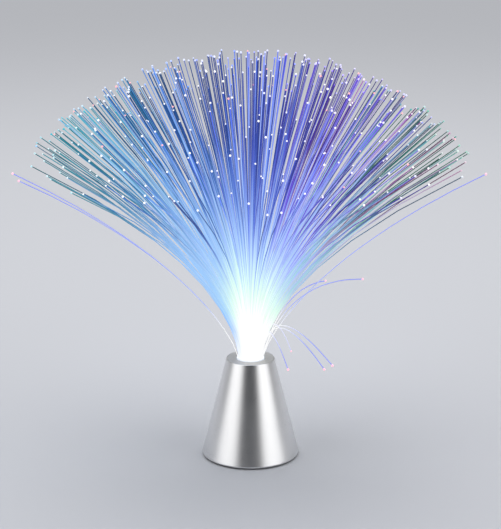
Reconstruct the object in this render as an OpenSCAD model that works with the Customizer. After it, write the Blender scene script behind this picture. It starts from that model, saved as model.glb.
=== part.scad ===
// Battery-lit fibre optic lamp: a silver cone that holds a fan of plastic optical fibres.
// Millimetres, +Z up. The origin is the centre of the surface that the lamp stands on,
// and the front is towards -Y.

/* [Cone] */
// How far the cone's bottom edge lies outside the corners of the battery bay
cone_skirt = 6.9; // [6.4:0.1:13]
// Diameter of the cone at its top edge
cone_top_d = 39; // [38.5:0.5:46]
// Height of the cone, without the feet
cone_h = 82; // [79:1:105]
// Thickness of the cone's wall and of its top
cone_wall = 2; // [1.6:0.1:2.2]
// Rounding of the cone's two outer edges
edge_r = 1.2; // [0.6:0.1:1.6]
// Width of the rib inside the cone that the bottom plate rests against
seat_w = 1.4; // [1:0.1:2]

/* [Bottom plate] */
// Thickness of the bottom plate
plate_t = 2.5; // [2.2:0.1:3.2]
// How far the bottom plate is set back from the cone's bottom edge
plate_inset = 0.5; // [0.3:0.1:1.5]
// Gap round the bottom plate
plate_gap = 0.3; // [0.2:0.05:0.5]
// Diameter of a rubber foot
foot_d = 7; // [5:0.2:8]
// How far a foot stands below the cone's bottom edge
foot_proud = 1; // [0.6:0.1:2]
// Depth of the pocket that holds a foot
foot_pocket = 0.5; // [0.3:0.1:1]
// Distance of the feet and the plate screws from the plate's edge
rim_inset = 5.5; // [5:0.1:6]

/* [Battery bay] */
// Diameter of a battery cell
cell_d = 10.5; // [10:0.1:10.7]
// Length of a battery cell with its positive end
cell_l = 44.5; // [43:0.1:44.9]
// Distance between the middles of neighbouring cells
cell_pitch = 11.2; // [10.9:0.1:11.4]
// Length of the spring in front of a cell's negative end
spring_l = 6; // [5:0.1:6.4]
// Wire diameter of the contact springs
spring_wire_d = 0.7; // [0.5:0.05:0.9]
// Thickness of the contact plates
contact_t = 0.5; // [0.3:0.05:0.8]
// Height of the dimple that meets a cell's positive end
dimple_h = 0.7; // [0.4:0.1:1]
// Thickness of the battery bay's walls
bay_wall = 1.2; // [1:0.1:1.4]
// Thickness of the battery door
door_t = 1.6; // [1.4:0.1:1.8]
// Gap round the battery door
door_gap = 0.35; // [0.25:0.05:0.5]
// How far the door laps under the bay's walls
door_lap = 0.8; // [0.6:0.05:1]
// Diameter of the door's hinge pins
hinge_pin_d = 1.4; // [1.2:0.1:1.6]

/* [Switch] */
// Travel of the slide switch
switch_travel = 4; // [3:0.1:4.4]
// Length of the switch's plastic body
switch_l = 12.6; // [12.4:0.1:13.6]
// Width of the switch's plastic body
switch_w = 6; // [5.6:0.1:6.4]
// Height of the switch's plastic body
switch_h = 5; // [4.8:0.1:6]
// Space between the battery bay and the switch frame
switch_gap = 4.7; // [4.4:0.1:5.4]
// Thickness of the switch's metal frame
frame_t = 0.5; // [0.3:0.05:0.6]

/* [Lamp head] */
// Diameter of the potted fibre bundle
bundle_d = 20.4; // [19.6:0.1:21]
// Thickness of the ferrule's wall
ferrule_wall = 1; // [0.7:0.1:1.2]
// Length of the ferrule
ferrule_l = 20.3; // [18:0.1:24]
// How far the ferrule stands out of the cone's top
ferrule_proud = 0.3; // [0.1:0.1:2]
// Gap between the ferrule and the socket it lifts out of
socket_gap = 0.3; // [0.2:0.05:0.4]
// Thickness of the socket tube's wall
socket_wall = 1.4; // [1.2:0.1:1.6]
// Extra radius of the hole in the cone's top past the ferrule
hole_gap = 0.5; // [0.3:0.1:0.8]
// Thickness of the diffuser lens
lens_t = 2.4; // [1.6:0.1:3]
// Length of the light chamber under the lens
chamber_l = 10.4; // [10:0.1:14]
// Thickness of the LED board
board_t = 1.6; // [1:0.1:2]
// Diameter of an LED
led_d = 5; // [4.6:0.1:5.2]
// Height of an LED
led_h = 8.6; // [8:0.1:9]
// Distance of the LEDs from the middle of the board
led_ring_r = 4.6; // [4:0.1:5]

/* [Screws] */
// Diameter of the plate, socket and board screws
screw_d = 2; // [1.8:0.05:2.2]
// Diameter of a screw head
screw_head_d = 4.4; // [4:0.1:4.8]
// Height of a screw head
screw_head_h = 1.1; // [0.9:0.1:1.3]
// Diameter of the small switch screws
small_screw_d = 1.6; // [1.4:0.05:1.8]

/* [Wires] */
// Diameter of an insulated wire
wire_d = 1.2; // [1:0.05:1.4]

/* [Fibre fan] */
// Number of fibres in the fan
fibre_count = 292; // [292:4:340]
// Diameter of one fibre
fibre_d = 0.75; // [0.6:0.01:0.8]
// Radius of the dome that the fibre tips lie on
dome_r = 231.5; // [200:0.5:260]
// Height of the middle of that dome above the cone's top
dome_rise = 17; // [10:0.5:30]
// Angle of the outermost tips from upright, seen from the middle of the dome
fan_angle = 49; // [40:0.5:52]
// How much further a fibre leans than the direction of its tip
lean_ratio = 1.24; // [1.1:0.01:1.3]
// Length over which a fibre leaves the ferrule upright
upright_l = 30; // [20:1:45]
// Length over which a fibre runs straight to its tip
straight_l = 150; // [120:1:165]
// How unevenly the fibres are cut, as a share of the dome's radius
cut_share = 0.012; // [0:0.001:0.02]

/* [Hidden] */

$fn = 96;
small_fn = 32;          // sides of the screws, leads and other small round things
eps = 0.01;             // overlap that fuses two shapes of one piece
seat_gap = 0.3;         // space between a loose piece and what carries it
pin_gap = 0.05;         // running clearance of a pin in its hole

silver = "silver";
chrome = "gainsboro";
black = "#26282b";
copper = "#c08040";

// ---- Plan of the battery bay: three cells side by side along X ----
cell_count = 3;
cell_r = cell_d / 2;
cell_side_gap = 0.75;   // space between the outer cells and the bay's side walls
cell_fit = 0.2;         // play between a cell and each of its contacts
bay_l = cell_l + spring_l + 2 * contact_t + dimple_h + 2 * cell_fit;
bay_w = (cell_count - 1) * cell_pitch + cell_d + 2 * cell_side_gap;
bay_corner_r = norm([bay_l / 2 + bay_wall, bay_w / 2 + bay_wall]);

// ---- Heights of the cone and the plate ----
cone_bottom_r = bay_corner_r + cone_skirt;
cone_top_r = cone_top_d / 2;
cone_bottom_z = foot_proud;
cone_top_z = cone_bottom_z + cone_h;
ceiling_z = cone_top_z - cone_wall;
plate_bottom_z = cone_bottom_z + plate_inset;
plate_top_z = plate_bottom_z + plate_t;
seat_h = 1.2;           // height of the rib that the plate rests against
function cone_r(z) =
    cone_bottom_r + (cone_top_r - cone_bottom_r) * (z - cone_bottom_z) / cone_h;
function cone_inner_r(z) = cone_r(z) - cone_wall;
plate_r = cone_inner_r(plate_top_z) - plate_gap;
rim_ring_r = plate_r - rim_inset;
foot_edge_r = 0.5;
foot_angles = [60, 120, 240, 300];
plate_screw_angles = [0, 180, 270];
post_r = 2.8;           // radius of a screw post inside the cone
post_h = 14;            // height of a screw post above the plate
post_rib_w = 2;         // rib that joins a post to the cone's wall
pilot_h = 11;           // depth of its hole
head_pocket = 1.2;      // depth of a screw head's pocket in the plate
hole_edge_r = 0.4;      // rounding of the hole in the cone's top
boss_ceiling = 1;       // what is left over the hole of a socket screw

// ---- Battery bay and its contacts ----
nub_l = 1;              // length of a cell's positive end
nub_r = 1.9;
cell_edge_r = 0.6;      // rounding of a cell's edges
nub_edge_r = 0.3;
door_top_z = plate_bottom_z + door_t;
bay_floor_z = door_top_z + 0.1;
cell_z = door_top_z + seat_gap + cell_r;
bay_ceiling_z = cell_z + cell_r + seat_gap;
bay_top_z = bay_ceiling_z + bay_wall;
bay_root_z = plate_bottom_z + plate_t / 2;      // inside the plate
function cell_y(i) = (i - (cell_count - 1) / 2) * cell_pitch;
function cell_faces_right(i) = i % 2 == 0;      // the middle cell is turned round
positive_x = bay_l / 2 - contact_t - dimple_h - cell_fit;
contact_w = 9.2;        // width of a contact plate at one cell
contact_h = 9.8;        // height of a contact plate
tab_w = 2.5;            // width of a solder tab
dimple_root_r = 2.6;    // the dimple narrows from here
dimple_tip_r = 1.6;     // to here at the cell
spring_turns = 3;
spring_root_r = 3.4;
spring_tip_r = 2.4;
tab_top_z = bay_top_z + 3;

// ---- Door, hinged along X at its front edge ----
hinge_r = 1.1;          // radius of the door's knuckles
hinge_room = 0.7;       // space round them, which the door swings through
hinge_pin_r = hinge_pin_d / 2;
hinge_y = -(bay_w / 2 + bay_wall / 2);
hinge_z = plate_bottom_z + hinge_r;
knuckle_x = 10;         // from here to knuckle_x + knuckle_l, on both sides
knuckle_l = 10;
ear_l = 2.7;            // length of the plate's hinge ears
ear_h = 3.3;            // height of the ears above the plate's bottom
ear_reach = 1.7;        // how far an ear reaches past the hinge line
ear_root = 2;           // how far it runs back into the plate
ear_gap = 0.3;
door_l = bay_l + 2 * door_lap;
door_edge_y = bay_w / 2 + door_lap;
door_front_y = hinge_y + 1.5;   // front edge of the door away from its knuckles
ear_x = knuckle_x + knuckle_l + ear_gap;
latch_w = 10;
latch_l = 8;
latch_slit = 0.8;
nib_r = 0.5;            // the nib that snaps over the plate's edge
nib_l = 6;
nib_z = plate_bottom_z + 0.9;
nib_proud = 0.15;
grip_count = 3;         // grooves for the finger on the latch
grip_pitch = 1.5;
grip_r = 0.5;
grip_l = 7.6;
grip_depth = 0.25;
notch_r = 4;            // finger notch in the plate behind the latch
notch_depth = 0.9;
notch_w = latch_w + 2;
tab_fit = 0.2;          // play of a solder tab in its slot

// ---- Slide switch behind the bay ----
switch_y = bay_w / 2 + bay_wall + switch_gap + switch_w / 2 + frame_t;
frame_top_z = plate_top_z + frame_t;
frame_l = 20;
frame_w = switch_w + 2 * frame_t;
cheek_h = 4;            // height of the frame's side cheeks
frame_screw_x = 8.2;
frame_hole_gap = 0.15;
slider_l = 6;           // the slider's block inside the switch
slider_w = 3.8;
slider_h = 2.5;
stem_l = 2.5;           // the stem between the block and the thumb piece
stem_w = 2;
thumb_l = 5;            // the thumb piece in the plate's slot
thumb_w = 4.4;
thumb_recess = 0.4;     // how far it stays behind the plate's bottom face
thumb_gap = 0.5;
thumb_groove = [0.5, 0.4];      // width and depth of its grooves
thumb_groove_pitch = 1.4;
slide_gap = 0.3;
slider_x = switch_travel / 2;   // the lamp is on, so the slider is at the right
slider_z = frame_top_z + slide_gap;
bridge_t = 0.3;
bridge_w = 1.2;
bridge_contact = [0.6, bridge_w, 0.06];     // raised contact under a terminal
bridge_z = slider_z + slider_h + pin_gap;
terminal_pitch = 3;
terminal_w = 0.8;
terminal_t = 0.4;
terminal_proud = 3.5;
terminal_bottom_z = bridge_z + bridge_t + 0.1;
terminal_top_z = frame_top_z + switch_h + terminal_proud;
switch_cavity_top_z = terminal_bottom_z + 0.3;
small_head_r = 1.5;
small_head_h = 0.8;
small_screw_l = 1.7;    // depth of its hole in the plate

// ---- Lamp head, hung from the cone's top ----
bundle_r = bundle_d / 2;
potting_gap = 0.1;
ferrule_inner_r = bundle_r + potting_gap;
ferrule_r = ferrule_inner_r + ferrule_wall;
ferrule_top_z = cone_top_z + ferrule_proud;
ferrule_edge_r = 0.3;
step_z = ferrule_top_z - ferrule_l;
socket_bore_r = ferrule_r + socket_gap;
socket_r = socket_bore_r + socket_wall;
hole_r = ferrule_r + hole_gap;
potting_top_z = ferrule_top_z - 0.6;
potting_bottom_z = step_z + 0.3;
lens_r = bundle_r + 0.2;
lens_edge_r = 0.4;
lens_pocket_r = lens_r + 0.15;
lens_z = step_z - lens_t - 0.2;
ledge_t = 1.4;          // thickness of the ledge under the lens
ledge_r = lens_r - 1.2;
board_top_z = lens_z - ledge_t - chamber_l;
board_z = board_top_z - board_t;
ear_ring_r = socket_r + 3;      // screws of the socket and of the board
ear_r = 2.8;
socket_ear_t = 2.5;
socket_boss_h = 8.5;
socket_boss_r = 2.4;
board_lug_h = 6;
board_r = ear_ring_r + ear_r + 0.4;
board_w = 2 * socket_r + 1.2;
screw_spare = 2;        // how far a socket or board screw stays short of its hole's end
led_r = led_d / 2;
led_flange_h = 1;
led_flange_w = 0.4;
led_lead_x = 1.27;
lead_r = 0.25;
lead_hole_r = 0.4;
lead_below = 1;         // how far the leads stand out under the board
resistor_r = 1.1;
resistor_l = 5.4;
resistor_z = board_z - resistor_r - 0.2;
resistor_x = [9, 11.6, -9];
resistor_lead_y = resistor_l / 2 + 1;   // where its leads turn up through the board
chip_size = [5, 6, 1.5];
chip_y = -socket_r + 3.5;
chip_leg_size = [0.4, 1.4, 0.3];        // width, length and thickness of a leg
chip_leg_pitch = 1.27;
chip_leg_drop = 1;                      // height of its upright part

// ---- Screws ----
screw_r = screw_d / 2;
screw_head_r = screw_head_d / 2;
screw_hole_r = screw_r + 0.3;
pilot_r = screw_r + pin_gap;
small_screw_r = small_screw_d / 2;

// ---- Wires: hand-placed points, worked from the pieces that they join ----
wire_r = wire_d / 2;
wire_sides = 8;
wire_steps = 5;
wire_hole_r = wire_r + 0.15;
tab_x = bay_l / 2 - contact_t / 2;
wire_touch = 0.1;
positive_pad = [7, 8];
switched_pad = [-6, 8.5];

// ---- Fibres ----
fibre_r = fibre_d / 2;
fibre_sides = 3;
stray_room = 1.5;       // room for the strays round the roots of the fan
stray_inset = 0.35;     // how far the strays' roots stay inside the bundle's edge
fan_root_r = bundle_r - stray_room;
fibre_root_z = potting_top_z - 1;
dome_z = cone_top_z + dome_rise;
golden_angle = 180 * (3 - sqrt(5));
cut_noise = rands(-1, 1, fibre_count, 7);
inner_share = 0.36;     // the straighter fibres inside this share have fewer rings
inner_rings = 3;
outer_rings = 4;
stray_rings = 8;
ring_crowding = 1.3;    // draws the rings towards the root, where a fibre bends most
potting_sides = 64;
// Stray fibres: the direction round the axis, then the corners of the curve as
// [out, up] from the fibre's root. Six arch out at the right, and the last three are
// long ones that lean out past the fan.
strays = [
    [-12, [[0, 0], [4, 18], [22, 72], [82, 74]]],
    [8, [[0, 0], [4, 16], [18, 62], [52, 64]]],
    [-23, [[0, 0], [5, 32], [16, 52], [62, 4]]],
    [-32, [[0, 0], [5, 31], [18, 51], [60, 4]]],
    [-43, [[0, 0], [5, 34], [18, 52], [35, 17]]],
    [-60, [[0, 0], [5, 30], [18, 50], [50, 9]]],
    [179, [[0, 0], [5, 24], [50, 92], [180, 155]]],
    [190, [[0, 0], [5, 24], [48, 94], [174, 158]]],
    [-2, [[0, 0], [5, 24], [48, 92], [177, 157]]]
];

// ---------------------------------------------------------------- general shapes

function unit(v) = v / norm(v);

// Points of a rounded corner at p, on the way from a to b
function corner_arc(a, p, b, r, steps = 6) =
    let (
        u = unit(a - p),
        v = unit(b - p),
        half = acos(u * v) / 2,
        centre = p + unit(u + v) * r / sin(half),
        first = p + u * r / tan(half) - centre,
        last = p + v * r / tan(half) - centre,
        a0 = atan2(first.y, first.x),
        turn = atan2(last.y, last.x) - a0,
        sweep = turn > 180 ? turn - 360 : turn < -180 ? turn + 360 : turn
    )
    [for (i = [0 : steps]) centre + r * [cos(a0 + sweep * i / steps), sin(a0 + sweep * i / steps)]];

// A smooth curve through hand-placed points
function spline_point(a, b, c, d, t) =
    0.5 * (2 * b + (c - a) * t + (2 * a - 5 * b + 4 * c - d) * t * t
        + (3 * b - a - 3 * c + d) * t * t * t);
function smooth_path(p, steps) =
    let (
        last = len(p) - 1,
        q = concat([2 * p[0] - p[1]], p, [2 * p[last] - p[last - 1]])
    )
    concat(
        [for (i = [0 : last - 1], j = [0 : steps - 1])
            spline_point(q[i], q[i + 1], q[i + 2], q[i + 3], j / steps)],
        [p[last]]
    );

// Faces of a tube whose points run round each ring in turn, from point number first on
function tube_faces(first, rings, sides) =
    concat(
        [for (i = [0 : rings - 2], k = [0 : sides - 1]) let (n = (k + 1) % sides, a = first + i * sides)
            [a + k, a + sides + k, a + sides + n]],
        [for (i = [0 : rings - 2], k = [0 : sides - 1]) let (n = (k + 1) % sides, a = first + i * sides)
            [a + k, a + sides + n, a + n]],
        [for (k = [1 : sides - 2]) [first, first + k, first + k + 1]],
        [for (k = [1 : sides - 2]) let (a = first + (rings - 1) * sides) [a, a + k + 1, a + k]]
    );

function path_tangents(p) =
    [for (i = [0 : len(p) - 1]) unit(p[min(i + 1, len(p) - 1)] - p[max(i - 1, 0)])];

// One side direction for each point of a path, carried along without twisting
function side_directions(t, i = 0, n = undef) =
    let (here = i == 0 ? unit(cross(t[0], abs(t[0].z) < 0.9 ? [0, 0, 1] : [1, 0, 0]))
                       : unit(n - (n * t[i]) * t[i]))
    i == len(t) - 1 ? [here] : concat([here], side_directions(t, i + 1, here));

module tube_along(p, r, sides) {
    t = path_tangents(p);
    s = side_directions(t);
    points = [for (i = [0 : len(p) - 1], k = [0 : sides - 1]) let (a = 360 * k / sides)
        p[i] + r * (cos(a) * s[i] + sin(a) * cross(t[i], s[i]))];
    polyhedron(points, tube_faces(0, len(p), sides));
}

module around(angles, r) {
    for (a = angles) rotate(a) translate([r, 0, 0]) children();
}

module block(size, at = [0, 0, 0]) {
    translate(at - [size.x / 2, size.y / 2, 0]) cube(size);
}

// The space inside the cone, less the given distance from its outer face
module cone_space(inset) {
    translate([0, 0, cone_bottom_z])
        cylinder(h = cone_h - inset, r1 = cone_bottom_r - inset, r2 = cone_r(cone_top_z - inset) - inset);
}

// A screw standing on its head, with a cross slot in the head
module screw(shank_r, length, head_r, head_h) {
    slot_l = head_r * 1.3;
    slot_w = head_r * 0.32;
    slot_depth = head_h * 0.6;
    difference() {
        union() {
            cylinder(h = head_h, r = head_r, $fn = small_fn);
            translate([0, 0, head_h - eps]) cylinder(h = length + eps, r = shank_r, $fn = small_fn);
        }
        for (a = [0, 90]) rotate(a)
            block([slot_l, slot_w, slot_depth + eps], [0, 0, -eps]);
    }
}

// ---------------------------------------------------------------- cone

module base_housing() {
    outer_bottom = [cone_bottom_r, cone_bottom_z];
    outer_top = [cone_top_r, cone_top_z];
    hole_top = [hole_r, cone_top_z];
    seat_top_z = plate_top_z + seat_h;
    seat_r = cone_inner_r(plate_top_z) - seat_w;
    profile = concat(
        [[cone_inner_r(cone_bottom_z), cone_bottom_z]],
        corner_arc([0, cone_bottom_z], outer_bottom, outer_top, edge_r),
        corner_arc(outer_bottom, outer_top, hole_top, edge_r),
        corner_arc(outer_top, hole_top, [hole_r, ceiling_z], hole_edge_r, 3),
        [
            [hole_r, ceiling_z],
            [cone_inner_r(ceiling_z), ceiling_z],
            [cone_inner_r(seat_top_z + seat_w), seat_top_z + seat_w],
            [seat_r, seat_top_z],
            [seat_r, plate_top_z],
            [cone_inner_r(plate_top_z), plate_top_z]
        ]
    );
    color(silver) difference() {
        union() {
            rotate_extrude() polygon(profile);
            intersection() {
                union() {
                    around(plate_screw_angles, rim_ring_r) translate([0, 0, plate_top_z]) {
                        cylinder(h = post_h, r = post_r);
                        translate([0, -post_rib_w / 2, 0]) cube([rim_inset + cone_wall, post_rib_w, post_h]);
                    }
                    around([90, 270], ear_ring_r) translate([0, 0, ceiling_z - socket_boss_h])
                        cylinder(h = socket_boss_h + eps, r = socket_boss_r);
                }
                cone_space(cone_wall / 2);
            }
        }
        around(plate_screw_angles, rim_ring_r) translate([0, 0, plate_top_z - eps])
            cylinder(h = pilot_h, r = pilot_r, $fn = small_fn);
        around([90, 270], ear_ring_r) translate([0, 0, ceiling_z - socket_boss_h - eps])
            cylinder(h = socket_boss_h - boss_ceiling, r = pilot_r, $fn = small_fn);
    }
}

// ---------------------------------------------------------------- bottom plate and door

module plate_slots() {
    // door opening, the bay above it, and the room for the door's knuckles
    translate([-door_l / 2 - door_gap, -bay_w / 2, plate_bottom_z - eps])
        cube([door_l + 2 * door_gap, bay_w / 2 + door_edge_y + door_gap, bay_floor_z - plate_bottom_z + eps]);
    block([bay_l, bay_w, bay_ceiling_z - plate_bottom_z], [0, 0, plate_bottom_z]);
    for (side = [-1, 1])
        translate([side * (knuckle_x + knuckle_l / 2), hinge_y, hinge_z]) rotate([0, 90, 0])
            cylinder(h = knuckle_l + 2 * ear_gap, r = hinge_r + hinge_room, center = true);
    // finger notch behind the door's latch
    translate([0, door_edge_y + notch_r / 2, plate_bottom_z + notch_depth - notch_r]) rotate([0, 90, 0])
        cylinder(h = notch_w, r = notch_r, center = true);
    // slot for the switch's thumb piece
    block([thumb_l + switch_travel + 2 * thumb_gap, thumb_w + 2 * thumb_gap, plate_t + 2],
          [0, switch_y, plate_bottom_z - 1]);
    // slots for the solder tabs, through the bay's ceiling
    for (tab = [[1, cell_count - 1], [-1, 0]])
        translate([tab[0] * tab_x, cell_y(tab[1]), bay_ceiling_z - 0.5])
            block([contact_t + 2 * tab_fit, tab_w + 2 * tab_fit, bay_wall + 1]);
}

module bottom_plate() {
    color(black) difference() {
        union() {
            difference() {
                union() {
                    translate([0, 0, plate_bottom_z]) cylinder(h = plate_t, r = plate_r);
                    block([bay_l + 2 * bay_wall, bay_w + 2 * bay_wall, bay_top_z - bay_root_z],
                          [0, 0, bay_root_z]);
                }
                plate_slots();
            }
            for (side = [-1, 1])
                block([ear_l, ear_reach + ear_root, ear_h],
                      [side * (ear_x + ear_l / 2), hinge_y + (ear_reach - ear_root) / 2, plate_bottom_z]);
        }
        for (side = [0, 180]) translate([0, hinge_y, hinge_z]) rotate([0, 0, side])
            translate([ear_x - eps, 0, 0]) rotate([0, 90, 0])
                cylinder(h = ear_l - ear_gap, r = hinge_pin_r + pin_gap, $fn = small_fn);
        around(foot_angles, rim_ring_r) translate([0, 0, plate_bottom_z - eps])
            cylinder(h = foot_pocket + eps, r = foot_d / 2 + seat_gap);
        around(plate_screw_angles, rim_ring_r) {
            translate([0, 0, plate_bottom_z - eps])
                cylinder(h = head_pocket + eps, r = screw_head_r + seat_gap, $fn = small_fn);
            translate([0, 0, plate_bottom_z])
                cylinder(h = plate_t + 1, r = screw_hole_r, $fn = small_fn);
        }
        for (side = [-1, 1])
            translate([side * frame_screw_x, switch_y, plate_top_z - small_screw_l])
                cylinder(h = small_screw_l + 1, r = small_screw_r + pin_gap, $fn = small_fn);
    }
}

module battery_door() {
    color(black) difference() {
        union() {
            translate([-door_l / 2, door_front_y, plate_bottom_z])
                cube([door_l, door_edge_y - door_front_y, door_t]);
            for (side = [-1, 1]) {
                translate([side * (knuckle_x + knuckle_l / 2), hinge_y, hinge_z]) rotate([0, 90, 0])
                    cylinder(h = knuckle_l, r = hinge_r, center = true, $fn = small_fn);
                translate([side * (knuckle_x + knuckle_l / 2) - knuckle_l / 2, hinge_y, plate_bottom_z])
                    cube([knuckle_l, door_front_y - hinge_y + eps, door_t]);
            }
            for (side = [0, 180]) translate([0, hinge_y, hinge_z]) rotate([0, 0, side])
                translate([ear_x - ear_gap - eps, 0, 0]) rotate([0, 90, 0])
                    cylinder(h = ear_l - ear_gap, r = hinge_pin_r, $fn = small_fn);
            translate([0, door_edge_y + nib_proud - nib_r, nib_z]) rotate([0, 90, 0])
                cylinder(h = nib_l, r = nib_r, center = true, $fn = small_fn);
        }
        for (side = [-1, 1]) {
            translate([side * (ear_x + ear_l / 2), hinge_y, plate_bottom_z - 1])
                block([ear_l + 2 * ear_gap, 2 * (ear_reach + door_gap), door_t + 2]);
            translate([side * latch_w / 2, door_edge_y - latch_l / 2 + 1, plate_bottom_z - 1])
                block([latch_slit, latch_l + 2, door_t + 2]);
        }
        for (i = [1 : grip_count])
            translate([0, door_edge_y - grip_pitch * i, plate_bottom_z + grip_depth - grip_r])
                rotate([0, 90, 0]) cylinder(h = grip_l, r = grip_r, center = true, $fn = small_fn);
    }
}

module rubber_feet() {
    color("#1c1c1e") around(foot_angles, rim_ring_r)
        rotate_extrude() polygon(concat(
            [[0, 0]],
            corner_arc([0, 0], [foot_d / 2, 0], [foot_d / 2, plate_bottom_z + foot_pocket], foot_edge_r, 3),
            [[foot_d / 2, plate_bottom_z + foot_pocket], [0, plate_bottom_z + foot_pocket]]
        ));
}

module base_screws() {
    color(chrome) around(plate_screw_angles, rim_ring_r)
        translate([0, 0, plate_bottom_z + head_pocket - screw_head_h])
            screw(screw_r, pilot_h, screw_head_r, screw_head_h);
}

// ---------------------------------------------------------------- cells and contacts

// A cell with its positive end at the right
module cell() {
    rotate([0, 90, 0]) rotate_extrude() polygon(concat(
        [[0, -cell_l]],
        corner_arc([0, -cell_l], [cell_r, -cell_l], [cell_r, 0], cell_edge_r, 3),
        corner_arc([cell_r, -cell_l], [cell_r, -nub_l], [0, -nub_l], cell_edge_r, 3),
        [[nub_r, -nub_l]],
        corner_arc([nub_r, -nub_l], [nub_r, 0], [0, 0], nub_edge_r, 3),
        [[0, 0]]
    ));
}

module seated_cell(i) {
    color(i % 2 == 0 ? "#3d4043" : "#4a4e52")
        translate([0, cell_y(i), cell_z]) rotate(cell_faces_right(i) ? 0 : 180)
            translate([positive_x, 0, 0]) cell();
}

module battery_1() seated_cell(0);
module battery_2() seated_cell(1);
module battery_3() seated_cell(2);

// A contact plate against the bay's right wall, from cell a to cell b
module contact_plate(a, b) {
    translate([bay_l / 2 - contact_t, cell_y(a) - contact_w / 2, bay_floor_z + seat_gap])
        cube([contact_t, cell_y(b) - cell_y(a) + contact_w, contact_h]);
}

module contact_dimple(i) {
    translate([bay_l / 2 - contact_t + eps, cell_y(i), cell_z]) rotate([0, -90, 0])
        cylinder(h = dimple_h + eps, r1 = dimple_root_r, r2 = dimple_tip_r, $fn = small_fn);
}

// A cone-shaped spring on the plate, narrower at the cell
module contact_spring(i) {
    wire_in = spring_wire_d / 2;
    steps = 8 * spring_turns;
    points = [for (k = [0 : steps])
        let (
            share = k / steps,
            a = 360 * spring_turns * share,
            r = spring_root_r + (spring_tip_r - spring_root_r) * share
        )
        [-(spring_l - wire_in) * share, r * cos(a), r * sin(a)]];
    translate([bay_l / 2 - contact_t, cell_y(i), cell_z]) tube_along(points, wire_in, 6);
}

module solder_tab(i) {
    tab_z = bay_floor_z + seat_gap + contact_h - eps;
    translate([bay_l / 2 - contact_t, cell_y(i) - tab_w / 2, tab_z])
        cube([contact_t, tab_w, tab_top_z - tab_z]);
}

// Turned half round, so its cells are counted from the other end
module contact_negative() {
    color(chrome) rotate(180) {
        contact_plate(cell_count - 1, cell_count - 1);
        contact_spring(cell_count - 1);
        solder_tab(cell_count - 1);
    }
}

module contact_positive() {
    color(chrome) {
        contact_plate(cell_count - 1, cell_count - 1);
        contact_dimple(cell_count - 1);
        solder_tab(cell_count - 1);
    }
}

module contact_link_right() {
    color(chrome) {
        contact_plate(0, 1);
        contact_dimple(0);
        contact_spring(1);
    }
}

module contact_link_left() {
    color(chrome) rotate(180) {
        contact_plate(0, 1);
        contact_spring(0);
        contact_dimple(1);
    }
}

// ---------------------------------------------------------------- switch

module switch_frame() {
    color(chrome) translate([0, switch_y, 0]) difference() {
        union() {
            block([frame_l, frame_w, frame_t], [0, 0, plate_top_z]);
            for (side = [-1, 1])
                block([switch_l, frame_t, cheek_h + eps],
                      [0, side * (switch_w + frame_t) / 2, frame_top_z - eps]);
        }
        block([stem_l + switch_travel + 2 * slide_gap, stem_w + 2 * slide_gap, 2], [0, 0, plate_top_z - 1]);
        for (side = [-1, 1]) translate([side * frame_screw_x, 0, plate_top_z - 1])
            cylinder(h = frame_t + 2, r = small_screw_r + frame_hole_gap, $fn = small_fn);
    }
}

module switch_base() {
    color("#e8e4da") translate([0, switch_y, 0]) difference() {
        block([switch_l, switch_w, switch_h], [0, 0, frame_top_z]);
        block([slider_l + switch_travel + 2 * slide_gap, slider_w + 2 * slide_gap,
               switch_cavity_top_z - frame_top_z + 1],
              [0, 0, frame_top_z - 1]);
        for (i = [-1 : 1])
            block([terminal_w + 2 * pin_gap, terminal_t + 2 * pin_gap, switch_h + 1],
                  [i * terminal_pitch, 0, switch_cavity_top_z - 0.5]);
    }
}

module switch_slider() {
    thumb_z = plate_bottom_z + thumb_recess;
    thumb_top_z = plate_top_z - slide_gap;
    color(black) translate([slider_x, switch_y, 0]) difference() {
        union() {
            block([slider_l, slider_w, slider_h], [0, 0, slider_z]);
            block([stem_l, stem_w, slider_z - thumb_top_z + 2 * eps], [0, 0, thumb_top_z - eps]);
            block([thumb_l, thumb_w, thumb_top_z - thumb_z], [0, 0, thumb_z]);
        }
        for (i = [-1 : 1])
            block([thumb_groove[0], thumb_w + 1, 2 * thumb_groove[1]],
                  [thumb_groove_pitch * i, 0, thumb_z - thumb_groove[1]]);
    }
}

// The springy strip on the slider that joins two of the terminals
module switch_bridge() {
    color(copper) translate([slider_x, switch_y, 0]) {
        block([slider_l - 1, bridge_w, bridge_t], [0, 0, bridge_z]);
        for (side = [-1, 1])
            block(bridge_contact, [side * terminal_pitch / 2, 0, bridge_z + bridge_t - eps]);
    }
}

module switch_terminals() {
    color(chrome) for (i = [-1 : 1])
        block([terminal_w, terminal_t, terminal_top_z - terminal_bottom_z],
              [i * terminal_pitch, switch_y, terminal_bottom_z]);
}

module switch_screws() {
    color(chrome) for (side = [-1, 1])
        translate([side * frame_screw_x, switch_y, frame_top_z + small_head_h]) rotate([180, 0, 0])
            screw(small_screw_r, frame_t + small_screw_l - 0.2, small_head_r, small_head_h);
}

// ---------------------------------------------------------------- lamp head

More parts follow.
